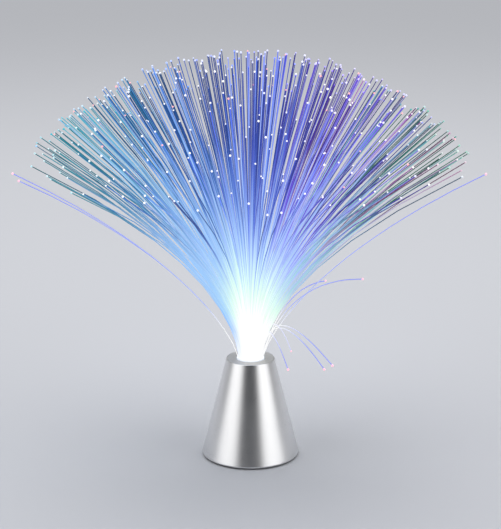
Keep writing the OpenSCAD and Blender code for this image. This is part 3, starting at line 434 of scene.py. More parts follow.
def fan_tree(fan, glow, fibre_finish, end_finish):
    """The geometry tree of the fan, and the values of its inputs by identifier."""
    tree = bpy.data.node_groups.new("fibre_fan", "GeometryNodeTree")
    w = Wiring(tree)
    tree.interface.new_socket(name="Geometry", in_out="OUTPUT", socket_type="NodeSocketGeometry")
    values = inputs_of(
        tree,
        rows_of(
            fan, "fibres", "rings", "sides", "fibre_diameter", "end_diameter", "dome_radius", "fan_angle",
            "lean_ratio", "upright", "straight", "cut_spread", "gathering", "wander", "seed",
        ) + [
            ("Root Radius", "NodeSocketFloat", BUNDLE_RADIUS - fan.fibre_diameter / 2),
            ("Root Height", "NodeSocketFloat", FIBRE_ROOT),
            ("Dome Height", "NodeSocketFloat", SHELL_TOP + fan.dome_rise),
            ("Fibre Finish", "NodeSocketMaterial", fibre_finish),
            ("End Finish", "NodeSocketMaterial", end_finish),
        ],
    )
    given = w.node("NodeGroupInput").outputs
    number = kept(w, "fibre", "INT")

    def chance(draw, low, high):
        """A random number for each fibre, the same at all its points."""
        seed = w.math("ADD", given["Seed"], float(draw))
        return w.out(
            "FunctionNodeRandomValue", {"data_type": "FLOAT"}, Min=low, Max=high, ID=number, Seed=seed
        )

    def raised(height):
        return w.joined(0.0, 0.0, height)

    # One straight line for each fibre, whose points the rules below then place
    starts = w.out("GeometryNodePoints", Count=given["Fibres"])
    starts = stored(w, starts, "fibre", "INT", w.out("GeometryNodeInputIndex"))
    line = w.out("GeometryNodeCurvePrimitiveLine", End=(0.0, 0.0, 1.0))
    line = w.out("GeometryNodeResampleCurve", Curve=line, Count=given["Rings"])
    lines = w.out("GeometryNodeInstanceOnPoints", Points=starts, Instance=line)
    lines = w.out("GeometryNodeRealizeInstances", Geometry=lines)
    lines = stored(w, lines, "along", "FLOAT", w.out("GeometryNodeSplineParameter"))
    t = w.math("POWER", kept(w, "along", "FLOAT"), RING_CROWDING)

    # Half the fibres lie evenly, as the frame's do. The others lie between them, drawn together in tufts
    half = w.math("DIVIDE", given["Fibres"], 2.0)
    loose = w.math("FLOOR", w.math("DIVIDE", w.math("ADD", number, 0.5), half))
    rank = w.math("SUBTRACT", number, w.math("MULTIPLY", loose, w.math("SUBTRACT", half, 0.5)))
    off_middle = w.math("SQRT", w.math("DIVIDE", w.math("ADD", rank, 0.5), half))
    turn = w.math("MULTIPLY", rank, GOLDEN_ANGLE)
    spot = w.scaled(w.joined(w.math("COSINE", turn), w.math("SINE", turn), 0.0), off_middle)
    tuft = w.node(
        "ShaderNodeTexVoronoi",
        {"voronoi_dimensions": "2D"},
        Vector=w.vector("ADD", spot, TUFT_SHIFT),
        Scale=TUFTS_ACROSS,
    )
    tuft_lot = w.parts(tuft.outputs["Color"])[0]
    tuft_spot = w.vector("SUBTRACT", tuft.outputs["Position"], TUFT_SHIFT)
    pull = w.math("MULTIPLY", given["Gathering"], loose)
    heading = w.vector("ADD", w.scaled(spot, w.math("SUBTRACT", 1.0, pull)), w.scaled(tuft_spot, pull))
    stray = w.joined(chance(1, -SCATTER, SCATTER), chance(2, -SCATTER, SCATTER), 0.0)
    heading = w.vector("ADD", heading, w.scaled(stray, loose))
    outward = w.vector("NORMALIZE", heading)
    spread = w.math("MINIMUM", w.vector("LENGTH", heading, output="Value"), 1.0)

    # The corners of each fibre's curve: root, upright out of the cone, lean and end
    tilt = w.math("MULTIPLY", given["Fan Angle"], spread)
    lean = w.math("MULTIPLY", tilt, given["Lean Ratio"])
    cut = w.math("ADD", 1.0, w.math("MULTIPLY", chance(3, -1.0, 1.0), given["Cut Spread"]))
    reach = w.math("MULTIPLY", given["Dome Radius"], cut)
    root = w.vector("ADD", w.scaled(spot, given["Root Radius"]), raised(given["Root Height"]))
    leaving = w.vector("ADD", root, raised(given["Upright"]))
    end = w.vector("ADD", w.scaled(outward, w.math("SINE", tilt)), raised(w.math("COSINE", tilt)))
    end = w.vector("ADD", w.scaled(end, reach), raised(given["Dome Height"]))
    course = w.vector("ADD", w.scaled(outward, w.math("SINE", lean)), raised(w.math("COSINE", lean)))
    sway = w.joined(chance(4, -1.0, 1.0), chance(5, -1.0, 1.0), chance(6, -1.0, 1.0))
    sway = w.scaled(sway, w.math("MULTIPLY", given["Wander"], w.math("MULTIPLY", loose, spread)))
    bend = w.vector("SUBTRACT", w.vector("ADD", end, sway), w.scaled(course, given["Straight"]))
    rest = w.math("SUBTRACT", 1.0, t)
    first = w.scaled(root, w.math("POWER", rest, 3.0))
    second = w.scaled(leaving, w.math("MULTIPLY", 3.0, w.math("MULTIPLY", t, w.math("POWER", rest, 2.0))))
    third = w.scaled(bend, w.math("MULTIPLY", 3.0, w.math("MULTIPLY", rest, w.math("POWER", t, 2.0))))
    fourth = w.scaled(end, w.math("POWER", t, 3.0))
    place = w.vector("ADD", w.vector("ADD", first, second), w.vector("ADD", third, fourth))
    fibres = w.out("GeometryNodeSetPosition", Geometry=lines, Position=place)

    # The light: white at the neck, and tinted further out by the place in the fan
    across = w.math("ADD", w.parts(heading)[0], chance(7, -0.15, 0.15))
    tint_far = w.ramp(
        w.spread(across, -1, 1),
        (
            (0.10, (*glow.left, 1)),
            (0.30, (*glow.middle_left, 1)),
            (0.50, (*glow.middle, 1)),
            (0.74, (*glow.middle_right, 1)),
            (0.97, (*glow.right, 1)),
        ),
    )
    from_cone = from_cone_top(w)
    inner_left = w.math(
        "MULTIPLY", w.spread(across, -0.1, -0.8, 0.0, 0.85), w.spread(from_cone, *LEFT_TINT_COMES, 1.0, 0.0)
    )
    tint_far = w.blend(inner_left, tint_far, (*glow.middle_left, 1))
    odd = w.math("GREATER_THAN", chance(8, 0.0, 1.0), w.spread(across, 0.42, 1.0, 1.0, 0.4))
    odd_tint = w.ramp(chance(9, 0.0, 1.0), ((0.0, ODD_GREEN), (0.6, ODD_PINK)), "CONSTANT")
    tint_far = w.blend(w.math("MULTIPLY", odd, 0.7), tint_far, odd_tint)
    pale = w.math("GREATER_THAN", chance(14, 0.0, 1.0), 1 - PALE_SHARE)
    tint_far = w.blend(w.math("MULTIPLY", pale, 0.4), tint_far, PALE_VIOLET)
    aside = w.spread(w.math("ABSOLUTE", w.parts(heading)[0]), 0.3, 1.0, 1.0, 1.7)
    glow_reach = w.math("MULTIPLY", from_cone, aside)
    past_white = w.spread(glow_reach, *WHITE_ENDS, smooth=True)
    past_halo = w.spread(glow_reach, *HALO_ENDS, smooth=True)
    tint_reach = w.math("DIVIDE", from_cone, w.spread(tuft_lot, 0, 1, 0.75, 1.45))
    far_out = w.spread(tint_reach, *TINT_COMES, smooth=True)
    at_left_edge = w.spread(w.parts(heading)[0], -0.45, -1.0, 0.0, 0.8)
    neck_edge = w.math("MULTIPLY", at_left_edge, w.spread(from_cone, *NECK_EDGE_COMES))
    light = w.blend(neck_edge, (*glow.neck, 1), (*glow.neck_edge, 1))
    light = w.blend(past_white, light, w.blend(neck_edge, (*glow.halo, 1), (*glow.neck_edge, 1)))
    light = w.blend(past_halo, light, w.blend(0.62, tint_far, AZURE))
    light = w.blend(far_out, light, tint_far)
    fibres = stored(w, fibres, "light", "FLOAT_COLOR", light)
    lively = w.math("MULTIPLY", chance(10, 0.75, 1.2), w.spread(tuft_lot, 0.3, 0.8, 0.18, 0.9))
    dimming = w.spread(from_cone, *LIGHT_DIMS, smooth=True)
    fibres = stored(w, fibres, "strength", "FLOAT", w.spread(dimming, 0, 1, 0.92, lively))

    # The ends: nearly white in front, and tinted at the back and at both sides
    toward_back = w.spread(w.parts(heading)[1], -0.2, 0.6, 0.85, 0.15)
    toward_side = w.spread(w.math("ABSOLUTE", across), 0.6, 1.0, 0.0, 0.5)
    pale_end = w.math("ADD", chance(12, -0.15, 0.15), toward_back)
    pale_end = w.math("SUBTRACT", pale_end, toward_side, clamp=True)
    end_light = w.blend(pale_end, w.scaled(tint_far, 1.25), WHITE_LIGHT)
    rosy = w.math("GREATER_THAN", chance(13, 0.0, 1.0), 1 - ROSY_SHARE)
    end_light = w.blend(rosy, end_light, ROSE)
    fibres = stored(w, fibres, "end_light", "FLOAT_COLOR", end_light)

    columns = math.ceil(fan.fibres / MAP_ROWS)
    whole = tubes_with_ends(w, given, fibres, chance(11, 0.62, 1.15), columns)
    w.tree.links.new(whole, w.tree.nodes.new("NodeGroupOutput").inputs[0])
    return tree, values


def stray_tree(fan, fibre_finish, end_finish):
    """The geometry tree that turns the strays' curves into fibres with rounded ends."""
    tree = bpy.data.node_groups.new("stray_fibres", "GeometryNodeTree")
    w = Wiring(tree)
    tree.interface.new_socket(name="Geometry", in_out="INPUT", socket_type="NodeSocketGeometry")
    tree.interface.new_socket(name="Geometry", in_out="OUTPUT", socket_type="NodeSocketGeometry")
    values = inputs_of(
        tree,
        rows_of(fan, "fibre_diameter", "seed") + [
            ("Sides", "NodeSocketInt", fan.sides + 1),
            ("End Diameter", "NodeSocketFloat", fan.end_diameter * 1.15),
            ("Fibre Finish", "NodeSocketMaterial", fibre_finish),
            ("End Finish", "NodeSocketMaterial", end_finish),
        ],
    )
    given = w.node("NodeGroupInput").outputs
    along = w.out("GeometryNodeSplineParameter")
    light = w.blend(along, colour(0.56, 0.64, 1.0), colour(0.26, 0.30, 0.95))
    light = w.blend(w.spread(from_cone_top(w), *STRAY_WHITE_ENDS, smooth=True), WHITE_LIGHT, light)
    curves = w.out("GeometryNodeResampleCurve", Curve=given["Geometry"], Count=STRAY_RINGS)
    point = w.math("ADD", w.out("GeometryNodeInputIndex"), 0.5)
    number = w.math("FLOOR", w.math("DIVIDE", point, STRAY_RINGS))
    curves = stored(w, curves, "fibre", "INT", number)
    curves = stored(w, curves, "light", "FLOAT_COLOR", light)
    curves = stored(w, curves, "strength", "FLOAT", 0.8)
    curves = stored(w, curves, "end_light", "FLOAT_COLOR", colour(1.0, 0.55, 0.66))
    size = w.out("FunctionNodeRandomValue", {"data_type": "FLOAT"}, Min=0.8, Max=1.2, Seed=given["Seed"])
    whole = tubes_with_ends(w, given, curves, size, 1)
    w.tree.links.new(whole, w.tree.nodes.new("NodeGroupOutput").inputs[0])
    return tree, values


def stray_curves():
    """One curve object that holds a spline for every stray fibre."""
    curve = bpy.data.curves.new("stray_courses", "CURVE")
    curve.dimensions = "3D"
    curve.resolution_u = 14
    for direction, corners in STRAYS:
        turn = math.radians(direction)
        places = []
        for out, up in corners:
            reach = STRAY_ROOT + out * MM
            places.append((reach * math.cos(turn), reach * math.sin(turn), FIBRE_ROOT + up * MM))
        spline = curve.splines.new("BEZIER")
        spline.bezier_points.add(1)
        first, last = spline.bezier_points
        for point in (first, last):
            point.handle_left_type = point.handle_right_type = "FREE"
        first.co = first.handle_left = places[0]
        first.handle_right = places[1]
        last.handle_left = places[2]
        last.co = last.handle_right = places[3]
    made = bpy.data.objects.new("stray_courses", curve)
    bpy.context.collection.objects.link(made)
    return made


def circle(radius, height, sides):
    """Points round the axis at a height."""
    turns = [step * math.tau / sides for step in range(sides)]
    return [(radius * math.cos(turn), radius * math.sin(turn), height) for turn in turns]


def turned(name, profile, sides, material):
    """A closed turned piece from (radius, height) points that start and end on the axis."""
    made = bmesh.new()
    rings = []
    for radius, height in profile:
        places = circle(radius, height, sides) if radius else [(0, 0, height)]
        rings.append([made.verts.new(place) for place in places])
    for low, high in zip(rings, rings[1:]):
        for step in range(sides):
            after = (step + 1) % sides
            if len(low) == 1:
                made.faces.new((low[0], high[after], high[step]))
            elif len(high) == 1:
                made.faces.new((low[step], low[after], high[0]))
            else:
                made.faces.new((low[step], low[after], high[after], high[step]))
    bmesh.ops.recalc_face_normals(made, faces=made.faces)
    for face in made.faces:
        face.smooth = True
    mesh = bpy.data.meshes.new(name)
    made.to_mesh(mesh)
    made.free()
    mesh.materials.append(material)
    piece = bpy.data.objects.new(name, mesh)
    bpy.context.collection.objects.link(piece)
    return piece


# ---- Finishes --------------------------------------------------------------------------


def finish(name, paint):
    """A material whose nodes the paint function wires. It gives back the shader's socket."""
    material = bpy.data.materials.new(name)
    material.use_nodes = True
    material.node_tree.nodes.clear()
    w = Wiring(material.node_tree)
    w.node("ShaderNodeOutputMaterial", Surface=paint(w))
    return material


def lit_fibre(w):
    """A clear fibre that leaks its own tinted light along its length."""
    light = w.out("ShaderNodeAttribute", {"attribute_name": "light"}, "Color")
    strength = w.out("ShaderNodeAttribute", {"attribute_name": "strength"}, "Fac")
    return w.surface(
        # Painted light: the base colour is the fibre's own light, darkened, in place of a clear fibre's
        # colour.
        Base_Color=w.scaled(light, 0.22),
        Roughness=0.25,
        IOR=1.49,
        Specular_IOR_Level=0.25,
        Emission_Color=w.scaled(light, strength),
        Emission_Strength=1.0,
    )


def lit_end(w):
    """The bright end of a fibre, whose colour the fan's own rules give."""
    light = w.out("ShaderNodeAttribute", {"attribute_name": "end_light"}, "Color")
    return w.surface(
        # Painted light: the base colour is the end's own light, darkened.
        Base_Color=w.scaled(light, 0.4),
        Roughness=0.2,
        IOR=1.49,
        Emission_Color=light,
        Emission_Strength=0.95,
    )


def lit_potting(w):
    """Clear resin round the packed fibres, whose cut ends show in its two faces."""
    place = w.place()
    flat = {"voronoi_dimensions": "2D"}
    ends = w.out("ShaderNodeTexVoronoi", flat, "Distance", Vector=place, Scale=CUT_ENDS_PER_METRE)
    ends = w.spread(ends, 0.25, 0.5, 1.0, 0.0, smooth=True)
    rise = w.spread(w.parts(place)[2], POTTING_BOTTOM, POTTING_TOP, 0.35, 1.0)
    light = w.blend(ends, colour(0.45, 0.60, 0.80), WHITE_LIGHT)
    return w.surface(
        Base_Color=grey(0.7),
        Roughness=0.3,
        Emission_Color=w.scaled(light, rise),
        Emission_Strength=1.0,
        Normal=w.bump(ends, 0.05 * MM),
    )


def satin_silver(w):
    """A satin silver coat on a spun shell: fine grain, faint cloudiness, a rougher top face, and painted
    shade that makes the top face's colour darker.
    """
    place = w.place()
    grain = w.noise(place, 0.35 * MM, 3.0)
    cloud = w.noise(place, 22 * MM)
    top_face = w.math("GREATER_THAN", w.parts(place)[2], SHELL_TOP - 0.3 * MM)
    side = w.blend(cloud, colour(0.765, 0.765, 0.77), colour(0.795, 0.795, 0.795))
    sheen = w.math("ADD", w.spread(cloud, 0, 1, 0.28, 0.30), w.spread(grain, 0, 1, -0.02, 0.02))
    return w.surface(
        # Painted shade: the top face gets a darker colour than the side, which dims its reflections. Its
        # added roughness is real.
        Base_Color=w.blend(top_face, side, grey(0.58)),
        Metallic=1.0,
        Roughness=w.math("ADD", sheen, w.math("MULTIPLY", top_face, 0.25)),
        Normal=w.bump(grain, 0.02 * MM, 0.5),
    )


def moulded(shade, roughness, grain_size, grain_depth):
    """A paint function for a moulded plastic with a spark-eroded grain."""

    def paint(w):
        place = w.place()
        grain = w.noise(place, grain_size, 4.0)
        cloud = w.noise(place, 14 * MM)
        light = tuple(min(1.0, part * 1.18 + 0.004) for part in shade[:3])
        return w.surface(
            Base_Color=w.blend(cloud, shade, colour(*light)),
            Roughness=w.spread(w.math("ADD", grain, cloud), 0, 2, roughness - 0.07, roughness + 0.07),
            Normal=w.bump(grain, grain_depth, 0.8),
        )

    return paint


def rubber(w):
    """Dull rubber with a little dust in its pores."""
    place = w.place()
    pores = w.noise(place, 0.5 * MM, 5.0)
    dust = w.noise(place, 4 * MM)
    return w.surface(
        Base_Color=w.blend(w.spread(dust, 0.6, 1, 0, 0.5), grey(0.016), grey(0.07)),
        Roughness=w.spread(pores, 0, 1, 0.72, 0.9),
        Normal=w.bump(pores, 0.06 * MM),
    )


def plated(shade, roughness):
    """A paint function for plated metal with fine scratches."""

    def paint(w):
        place = w.place()
        scratches = w.noise(w.vector("MULTIPLY", place, (1.0, 9.0, 4.0)), 1.6 * MM, 4.0)
        stain = w.noise(place, 5 * MM)
        dull = tuple(part * 0.82 for part in shade[:3])
        return w.surface(
            Base_Color=w.blend(stain, colour(*dull), shade),
            Metallic=1.0,
            Roughness=w.spread(scratches, 0, 1, roughness - 0.06, roughness + 0.10),
            Normal=w.bump(scratches, 0.01 * MM, 0.6),
        )

    return paint


def cell_skin(turned_round):
    """A paint function for a cell: printed film in two plain colours between steel ends."""

    def paint(w):
        place = w.place()
        side = w.parts(place)[0]
        along = w.math("MULTIPLY", side, -1.0 if turned_round else 1.0)
        plus_end = cell_high.x
        film = w.ramp(
            w.spread(along, cell_low.x, plus_end),
            (
                (0.0, colour(0.03, 0.05, 0.12)),
                (0.70, colour(0.75, 0.76, 0.78)),
                (0.735, colour(0.52, 0.09, 0.05)),
            ),
            "CONSTANT",
        )
        steel = w.math(
            "MAXIMUM",
            w.math("GREATER_THAN", along, plus_end - 1.5 * MM),
            w.math("LESS_THAN", along, cell_low.x + 0.5 * MM),
        )
        scuff = w.noise(w.vector("MULTIPLY", place, (3.0, 1.0, 1.0)), 2 * MM, 4.0)
        return w.surface(
            Base_Color=w.blend(steel, film, colour(0.62, 0.60, 0.57)),
            Metallic=w.spread(steel, 0, 1, 0.15, 1.0),
            Roughness=w.spread(scuff, 0, 1, 0.22, 0.36),
            Normal=w.bump(scuff, 0.01 * MM, 0.5),
        )

    return paint


def circuit_green(w):
    """Solder mask over copper tracks, with tinned rings round the LEDs' leads."""
    place = w.place()
    x, y, z = w.parts(place)
    bend = w.spread(w.noise(place, 9 * MM, 0.0), 0, 1, -1.2 * MM, 1.2 * MM)
    lane = w.math("FRACT", w.math("DIVIDE", w.math("ADD", y, bend), TRACK_PITCH))
    track = w.math("LESS_THAN", w.math("ABSOLUTE", w.math("SUBTRACT", lane, 0.5)), 0.16)
    reach = w.vector("LENGTH", w.joined(x, y, 0.0), output="Value")
    ring = w.math("LESS_THAN", w.math("ABSOLUTE", w.math("SUBTRACT", reach, LED_RING)), 0.5 * MM)
    track = w.math("MAXIMUM", track, ring)
    mask = w.blend(track, colour(0.010, 0.085, 0.035), colour(0.025, 0.17, 0.065))
    middle = (board_low.z + board_high.z) / 2
    face = w.math("GREATER_THAN", w.math("ABSOLUTE", w.math("SUBTRACT", z, middle)), 0.7 * MM)
    return w.surface(
        Base_Color=w.blend(face, colour(0.42, 0.40, 0.18), mask),
        Roughness=0.3,
        Coat_Weight=0.3,
        Normal=w.bump(track, 0.04 * MM),
    )


def resistor_bands(w):
    """Tan bodies with four colour bands along Y, between tinned leads."""
    place = w.place()
    along = w.parts(place)[1]
    body = colour(0.55, 0.40, 0.24)
    brown, black = colour(0.16, 0.06, 0.02), grey(0.015)
    red, gold = colour(0.45, 0.02, 0.01), colour(0.55, 0.36, 0.08)
    stops = [(0.0, body)]
    rings = ((0.16, 0.26, brown), (0.36, 0.46, black), (0.54, 0.64, red), (0.80, 0.90, gold))
    for start, stop, shade in rings:
        stops += [(start, shade), (stop, body)]
    bands = w.ramp(w.spread(along, -RESISTOR_HALF, RESISTOR_HALF), stops, "CONSTANT")
    lead = w.math("GREATER_THAN", w.math("ABSOLUTE", along), RESISTOR_HALF + 0.01 * MM)
    return w.surface(
        Base_Color=w.blend(lead, bands, TINNED),
        Metallic=lead,
        Roughness=w.spread(w.noise(place, 0.8 * MM), 0, 1, 0.28, 0.4),
        Normal=w.bump(w.noise(place, 0.5 * MM), 0.02 * MM),
    )


LEDS = (
    ("led_red", colour(0.80, 0.03, 0.02)),
    ("led_green", colour(0.02, 0.62, 0.08)),
    ("led_blue", colour(0.03, 0.10, 0.85)),
)


def led_lens(shade):
    """A paint function for a tinted LED whose leads below the board's top are tinned."""

    def paint(w):
        place = w.place()
        height = w.parts(place)[2]
        lens = w.math("GREATER_THAN", height, board_high.z)
        hot = w.spread(height, board_high.z, board_high.z + 7 * MM, 0.15, 1.0, smooth=True)
        return w.surface(
            Base_Color=w.blend(lens, grey(0.6), shade),
            Metallic=w.spread(lens, 0, 1, 1.0, 0.0),
            Roughness=w.spread(w.noise(place, 2 * MM), 0, 1, 0.08, 0.16),
            Emission_Color=w.scaled(shade, w.math("MULTIPLY", lens, hot)),
            Emission_Strength=0.8,
        )

    return paint


def frosted(w):
    """A frosted lens, with the three colours of the LEDs under it mixed nearly white."""
    place = w.place()
    frost = w.noise(place, 0.4 * MM, 3.0)
    turn = w.out("ShaderNodeTexGradient", {"gradient_type": "RADIAL"}, "Fac", Vector=place)
    hue = w.ramp(
        turn,
        (
            (0.0, colour(0.75, 0.80, 1.0)),
            (0.25, colour(1.0, 0.80, 0.80)),
            (0.60, colour(0.80, 1.0, 0.84)),
            (1.0, colour(0.75, 0.80, 1.0)),
        ),
    )
    return w.surface(
        Base_Color=grey(0.85),
        Roughness=w.spread(frost, 0, 1, 0.45, 0.6),
        Emission_Color=hue,
        Emission_Strength=2.5,
        Normal=w.bump(frost, 0.03 * MM),
    )


def milky_ferrule(w):
    """A milky sleeve that carries the light of the bundle, brightest at its rim."""
    place = w.place()
    height = w.parts(place)[2]
    rise = w.spread(height, ferrule_low.z, ferrule_high.z, 0.12, 0.45, smooth=True)
    cloud = w.noise(place, 3 * MM)
    return w.surface(
        Base_Color=w.blend(cloud, grey(0.62), grey(0.72)),
        Roughness=w.spread(cloud, 0, 1, 0.28, 0.38),
        IOR=1.49,
        Emission_Color=w.scaled(colour(0.80, 0.90, 1.0), rise),
        Emission_Strength=1.0,
    )


def chip_package(w):
    """A dull resin package with tinned legs at its two sides."""
    place = w.place()
    x, y = w.parts(place)[:2]
    leg = w.math("GREATER_THAN", w.math("ABSOLUTE", x), CHIP_BODY_HALF)
    pit_x = w.math("ADD", x, 1.8 * MM)
    pit_y = w.math("SUBTRACT", y, (chip_low.y + chip_high.y) / 2 + 2.2 * MM)
    pit = w.vector("LENGTH", w.joined(pit_x, pit_y, 0.0), output="Value")
    pit = w.math("LESS_THAN", pit, 0.35 * MM)
    grain = w.noise(place, 0.2 * MM, 3.0)
    package = w.blend(pit, grey(0.018), grey(0.05))
    return w.surface(
        Base_Color=w.blend(leg, package, TINNED),
        Metallic=leg,
        Roughness=w.spread(grain, 0, 1, 0.42, 0.55),
        Normal=w.bump(grain, 0.02 * MM),
    )


def insulated(shade):
    """A paint function for a wire's soft plastic."""

    def paint(w):
        place = w.place()
        wave = w.noise(place, 1.2 * MM)
        dull = tuple(part * 0.85 for part in shade[:3])
        return w.surface(
            Base_Color=w.blend(wave, colour(*dull), shade),
            Roughness=w.spread(wave, 0, 1, 0.34, 0.46),
            Normal=w.bump(wave, 0.03 * MM),
        )

    return paint


def dressed(paint, *nodes):
    """Gives frame nodes a finish of their own. A missing node stops the script."""
    for name in nodes:
        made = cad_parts[name]
        material = finish(name + "_finish", paint)
        for slot in made.material_slots:
            slot.material = material


# ---- Operators -------------------------------------------------------------------------


class LampCamera(bpy.types.Operator):
    """Places the camera in front of the lamp"""

    bl_idname = "lamp.camera"
    bl_label = "Camera"

    def execute(self, context):
        stage = context.scene.lamp_stage
        lens = bpy.data.cameras.new("front_camera")
        lens.sensor_width = 36.0
        lens.lens = stage.focal_length
        lens.clip_end = 50.0
        camera = bpy.data.objects.new("front_camera", lens)
        camera.location = (0.0, -stage.camera_back, stage.camera_height)
        camera.rotation_euler = (math.pi / 2 - stage.camera_pitch, 0.0, 0.0)
        context.scene.collection.objects.link(camera)
        context.scene.camera = camera
        return {"FINISHED"}


class LampFan(bpy.types.Operator):
    """Grows the fan of lit fibres and its potted core, which stand for the frame's spray"""

    bl_idname = "lamp.fan"
    bl_label = "Fibre fan"

    def execute(self, context):
        fan = context.scene.lamp_fan
        fibre_finish = finish("lit_fibre", lit_fibre)
        end_finish = finish("lit_end", lit_end)
        tree, values = fan_tree(fan, context.scene.lamp_glow, fibre_finish, end_finish)
        carrier = bpy.data.objects.new("fan_carrier", bpy.data.meshes.new("fan_carrier"))
        context.collection.objects.link(carrier)
        fan_piece = grown("fibre_fan", carrier, tree, values)
        tree, values = stray_tree(fan, fibre_finish, end_finish)
        strays = grown("stray_fibres", stray_curves(), tree, values)
        edge = 0.25 * MM
        core = turned(
            "potted_core",
            (
                (0, POTTING_BOTTOM),
                (BUNDLE_RADIUS - edge, POTTING_BOTTOM),
                (BUNDLE_RADIUS, POTTING_BOTTOM + edge),
                (BUNDLE_RADIUS, POTTING_TOP - edge),
                (BUNDLE_RADIUS - edge, POTTING_TOP),
                (BUNDLE_RADIUS * 0.6, POTTING_TOP + 0.2 * MM),
                (0, POTTING_TOP + 0.3 * MM),
            ),
            64,
            finish("lit_potting", lit_potting),
        )
        for piece in (fan_piece, strays, core):
            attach(piece, "fibre_bundle")
        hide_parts("fibre_spray")
        return {"FINISHED"}


class LampShell(bpy.types.Operator):
    """Gives the cone its satin silver coat"""

    bl_idname = "lamp.shell"
    bl_label = "Silver cone"

    def execute(self, context):
        dressed(satin_silver, "base_housing")
        return {"FINISHED"}


class LampUnderside(bpy.types.Operator):
    """Finishes the bottom plate, battery door, feet, screws and switch"""

    bl_idname = "lamp.underside"
    bl_label = "Underside"

    def execute(self, context):
        dressed(moulded(grey(0.075), 0.46, 0.45 * MM, 0.04 * MM), "bottom_plate")
        dressed(moulded(grey(0.062), 0.42, 0.45 * MM, 0.04 * MM), "battery_door")
        dressed(moulded(grey(0.03), 0.42, 0.3 * MM, 0.02 * MM), "switch_slider")
        dressed(moulded(grey(0.66), 0.4, 0.4 * MM, 0.02 * MM), "switch_base")
        dressed(rubber, "rubber_feet")
        dressed(plated(colour(0.70, 0.68, 0.64), 0.28), "base_screws", "switch_screws", "switch_frame")
        dressed(plated(colour(0.76, 0.73, 0.66), 0.24), "switch_terminals")
        dressed(plated(colour(0.86, 0.46, 0.28), 0.26), "switch_bridge")
        return {"FINISHED"}


class LampPower(bpy.types.Operator):
    """Finishes the cells, their contacts and the wires"""

    bl_idname = "lamp.power"
    bl_label = "Cells and wires"

    def execute(self, context):
        dressed(cell_skin(False), "battery_1", "battery_3")
        dressed(cell_skin(True), "battery_2")
        contacts = ("contact_negative", "contact_positive", "contact_link_right", "contact_link_left")
        dressed(plated(colour(0.74, 0.72, 0.68), 0.22), *contacts)
        dressed(insulated(colour(0.50, 0.015, 0.012)), "wire_positive")
        dressed(insulated(grey(0.018)), "wire_negative")
        dressed(insulated(grey(0.72)), "wire_switched")
        return {"FINISHED"}


class LampLight(bpy.types.Operator):
    """Finishes the socket, the lit board with its parts, the lens and the ferrule"""

    bl_idname = "lamp.light"
    bl_label = "Light source"

    def execute(self, context):
        dressed(moulded(grey(0.30), 0.48, 0.45 * MM, 0.03 * MM), "fibre_socket")
        dressed(plated(colour(0.70, 0.68, 0.64), 0.28), "socket_screws", "board_screws")
        dressed(circuit_green, "led_board")
        dressed(resistor_bands, "board_resistors")
        dressed(chip_package, "controller_chip")
        for node, shade in LEDS:
            dressed(led_lens(shade), node)
        dressed(frosted, "diffuser_lens")
        dressed(milky_ferrule, "fibre_ferrule")
        return {"FINISHED"}


FLOOR_RADIUS = 7.0
FLOOR_FADES = (0.9, 2.6)  # distances from the lamp over which the floor fades into the backdrop
BAND_REACH = (38, 8)  # degrees from a light band's middle to its edge, and to its full brightness


def floor_paint(w):
    """A pale floor that fades into the backdrop, and is clear from below to show the underside."""
    shade = (*bpy.context.scene.lamp_stage.floor_colour, 1)
    top = w.surface(Base_Color=shade, Roughness=0.85, Specular_IOR_Level=0.1)
    ray = w.node("ShaderNodeLightPath").outputs
    reach = w.vector("LENGTH", w.place(), output="Value")
    far = w.math("MULTIPLY", w.spread(reach, *FLOOR_FADES, smooth=True), ray["Is Camera Ray"])
    floor = mixed(w, far, top, w.out("ShaderNodeEmission", Color=shade, Strength=1.0))
    came_through = w.math("GREATER_THAN", ray["Transparent Depth"], 0.5)
    below = w.math("MAXIMUM", w.node("ShaderNodeNewGeometry").outputs["Backfacing"], came_through)
    return mixed(w, below, floor, w.out("ShaderNodeBsdfTransparent"))


def mixed(w, factor, first, second):
    """A shader between the first and the second."""
    made = w.tree.nodes.new("ShaderNodeMixShader")
    for socket, value in zip(made.inputs, (factor, first, second)):
        w.feed(socket, value)
    return made.outputs[0]


def soft_light(name, place, target, size, power):
    """A soft rectangular light that faces a point."""
    light = bpy.data.lights.new(name, "AREA")
    light.shape = "RECTANGLE"
    light.size, light.size_y = size
    light.energy = power
    made = bpy.data.objects.new(name, light)
    made.location = place
    facing = Vector(target) - Vector(place)
    made.rotation_euler = facing.to_track_quat("-Z", "Y").to_euler()
    made.visible_camera = False
    bpy.context.scene.collection.objects.link(made)
    return made


def soft_room(w, stage):
    """The room's light by direction: dim in front, lighter behind, with a soft band at either side."""
    direction = w.node("ShaderNodeTexCoord").outputs["Generated"]
    x, y, z = w.parts(direction)
    level = w.vector("NORMALIZE", w.joined(x, y, 0.0))
    low = w.spread(z, 0.85, 0.6, smooth=True)
    edge, full = [math.cos(math.radians(degrees)) for degrees in BAND_REACH]
    bands = []
    for turn, brightness in ((-stage.left_angle, stage.left_band), (stage.right_angle, stage.right_band)):
        middle = (math.sin(turn), -math.cos(turn), 0.0)
        near = w.vector("DOT_PRODUCT", level, middle, output="Value")
        near = w.spread(near, edge, full, smooth=True)
        bands.append(w.math("MULTIPLY", w.math("MULTIPLY", near, low), brightness))
    room = w.spread(y, -0.9, 0.6, 0.01, 0.36, smooth=True)
    room = w.math("ADD", room, w.math("ADD", bands[0], bands[1]))
    return w.joined(room, room, room)


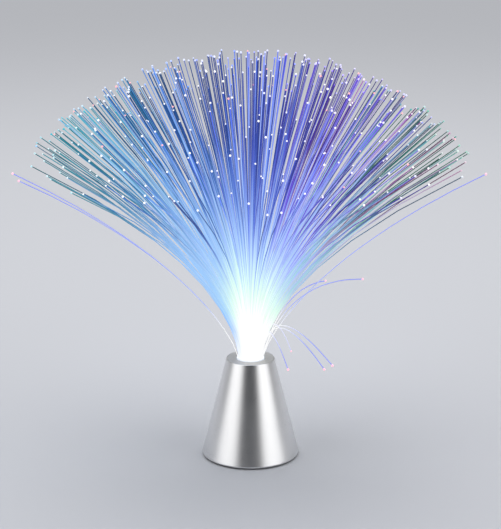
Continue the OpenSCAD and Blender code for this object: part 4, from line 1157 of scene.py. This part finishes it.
class LampStage(bpy.types.Operator):
    """Makes the floor, the soft lights and the surroundings"""

    bl_idname = "lamp.stage"
    bl_label = "Stage"

    def execute(self, context):
        floor = flat_disc("floor", FLOOR_RADIUS, 96, finish("pale_floor", floor_paint))
        soft_light(
            "overhead_light", place=(0.0, 0.5, 2.3), target=(0.0, 0.5, 0.0), size=(2.6, 2.6), power=70.0
        )
        world = bpy.data.worlds.new("soft_room")
        world.use_nodes = True
        world.node_tree.nodes.clear()
        w = Wiring(world.node_tree)
        room = soft_room(w, context.scene.lamp_stage)
        seen = w.node("ShaderNodeLightPath").outputs["Is Camera Ray"]
        shade = w.blend(seen, room, (*context.scene.lamp_stage.floor_colour, 1))
        background = w.out("ShaderNodeBackground", Color=shade, Strength=1.0)
        w.node("ShaderNodeOutputWorld", Surface=background)
        context.scene.world = world
        context.scene.view_settings.view_transform = "Standard"
        return {"FINISHED"}


def flat_disc(name, radius, sides, material):
    """A flat disc on the floor that faces up."""
    mesh = bpy.data.meshes.new(name)
    mesh.from_pydata(circle(radius, 0.0, sides), [], [tuple(range(sides))])
    mesh.materials.append(material)
    made = bpy.data.objects.new(name, mesh)
    bpy.context.scene.collection.objects.link(made)
    return made


class LampPanel(bpy.types.Panel):
    """The lamp's pieces and their sizes"""

    bl_idname = "VIEW3D_PT_lamp"
    bl_label = "Fibre Optic Lamp"
    bl_space_type = "VIEW_3D"
    bl_region_type = "UI"
    bl_category = "Lamp"

    def draw(self, context):
        for settings in (context.scene.lamp_fan, context.scene.lamp_glow, context.scene.lamp_stage):
            box = self.layout.box()
            for name in settings.bl_rna.properties.keys():
                if name not in ("rna_type", "name"):
                    box.prop(settings, name)
        for step in STEPS:
            self.layout.operator(step.bl_idname)


STEPS = (LampCamera, LampFan, LampShell, LampUnderside, LampPower, LampLight, LampStage)
SETTINGS = (
    ("lamp_fan", LampFanSettings),
    ("lamp_glow", LampGlowSettings),
    ("lamp_stage", LampStageSettings),
)


def register():
    for name, settings in SETTINGS:
        bpy.utils.register_class(settings)
        setattr(bpy.types.Scene, name, bpy.props.PointerProperty(type=settings))
    for made in STEPS + (LampPanel,):
        bpy.utils.register_class(made)


def unregister():
    for made in reversed(STEPS + (LampPanel,)):
        bpy.utils.unregister_class(made)
    for name, settings in reversed(SETTINGS):
        delattr(bpy.types.Scene, name)
        bpy.utils.unregister_class(settings)


def main():
    register()
    bpy.ops.lamp.camera()
    bpy.ops.lamp.fan()
    bpy.ops.lamp.shell()
    bpy.ops.lamp.underside()
    bpy.ops.lamp.power()
    bpy.ops.lamp.light()
    bpy.ops.lamp.stage()


if __name__ == "__main__":
    main()
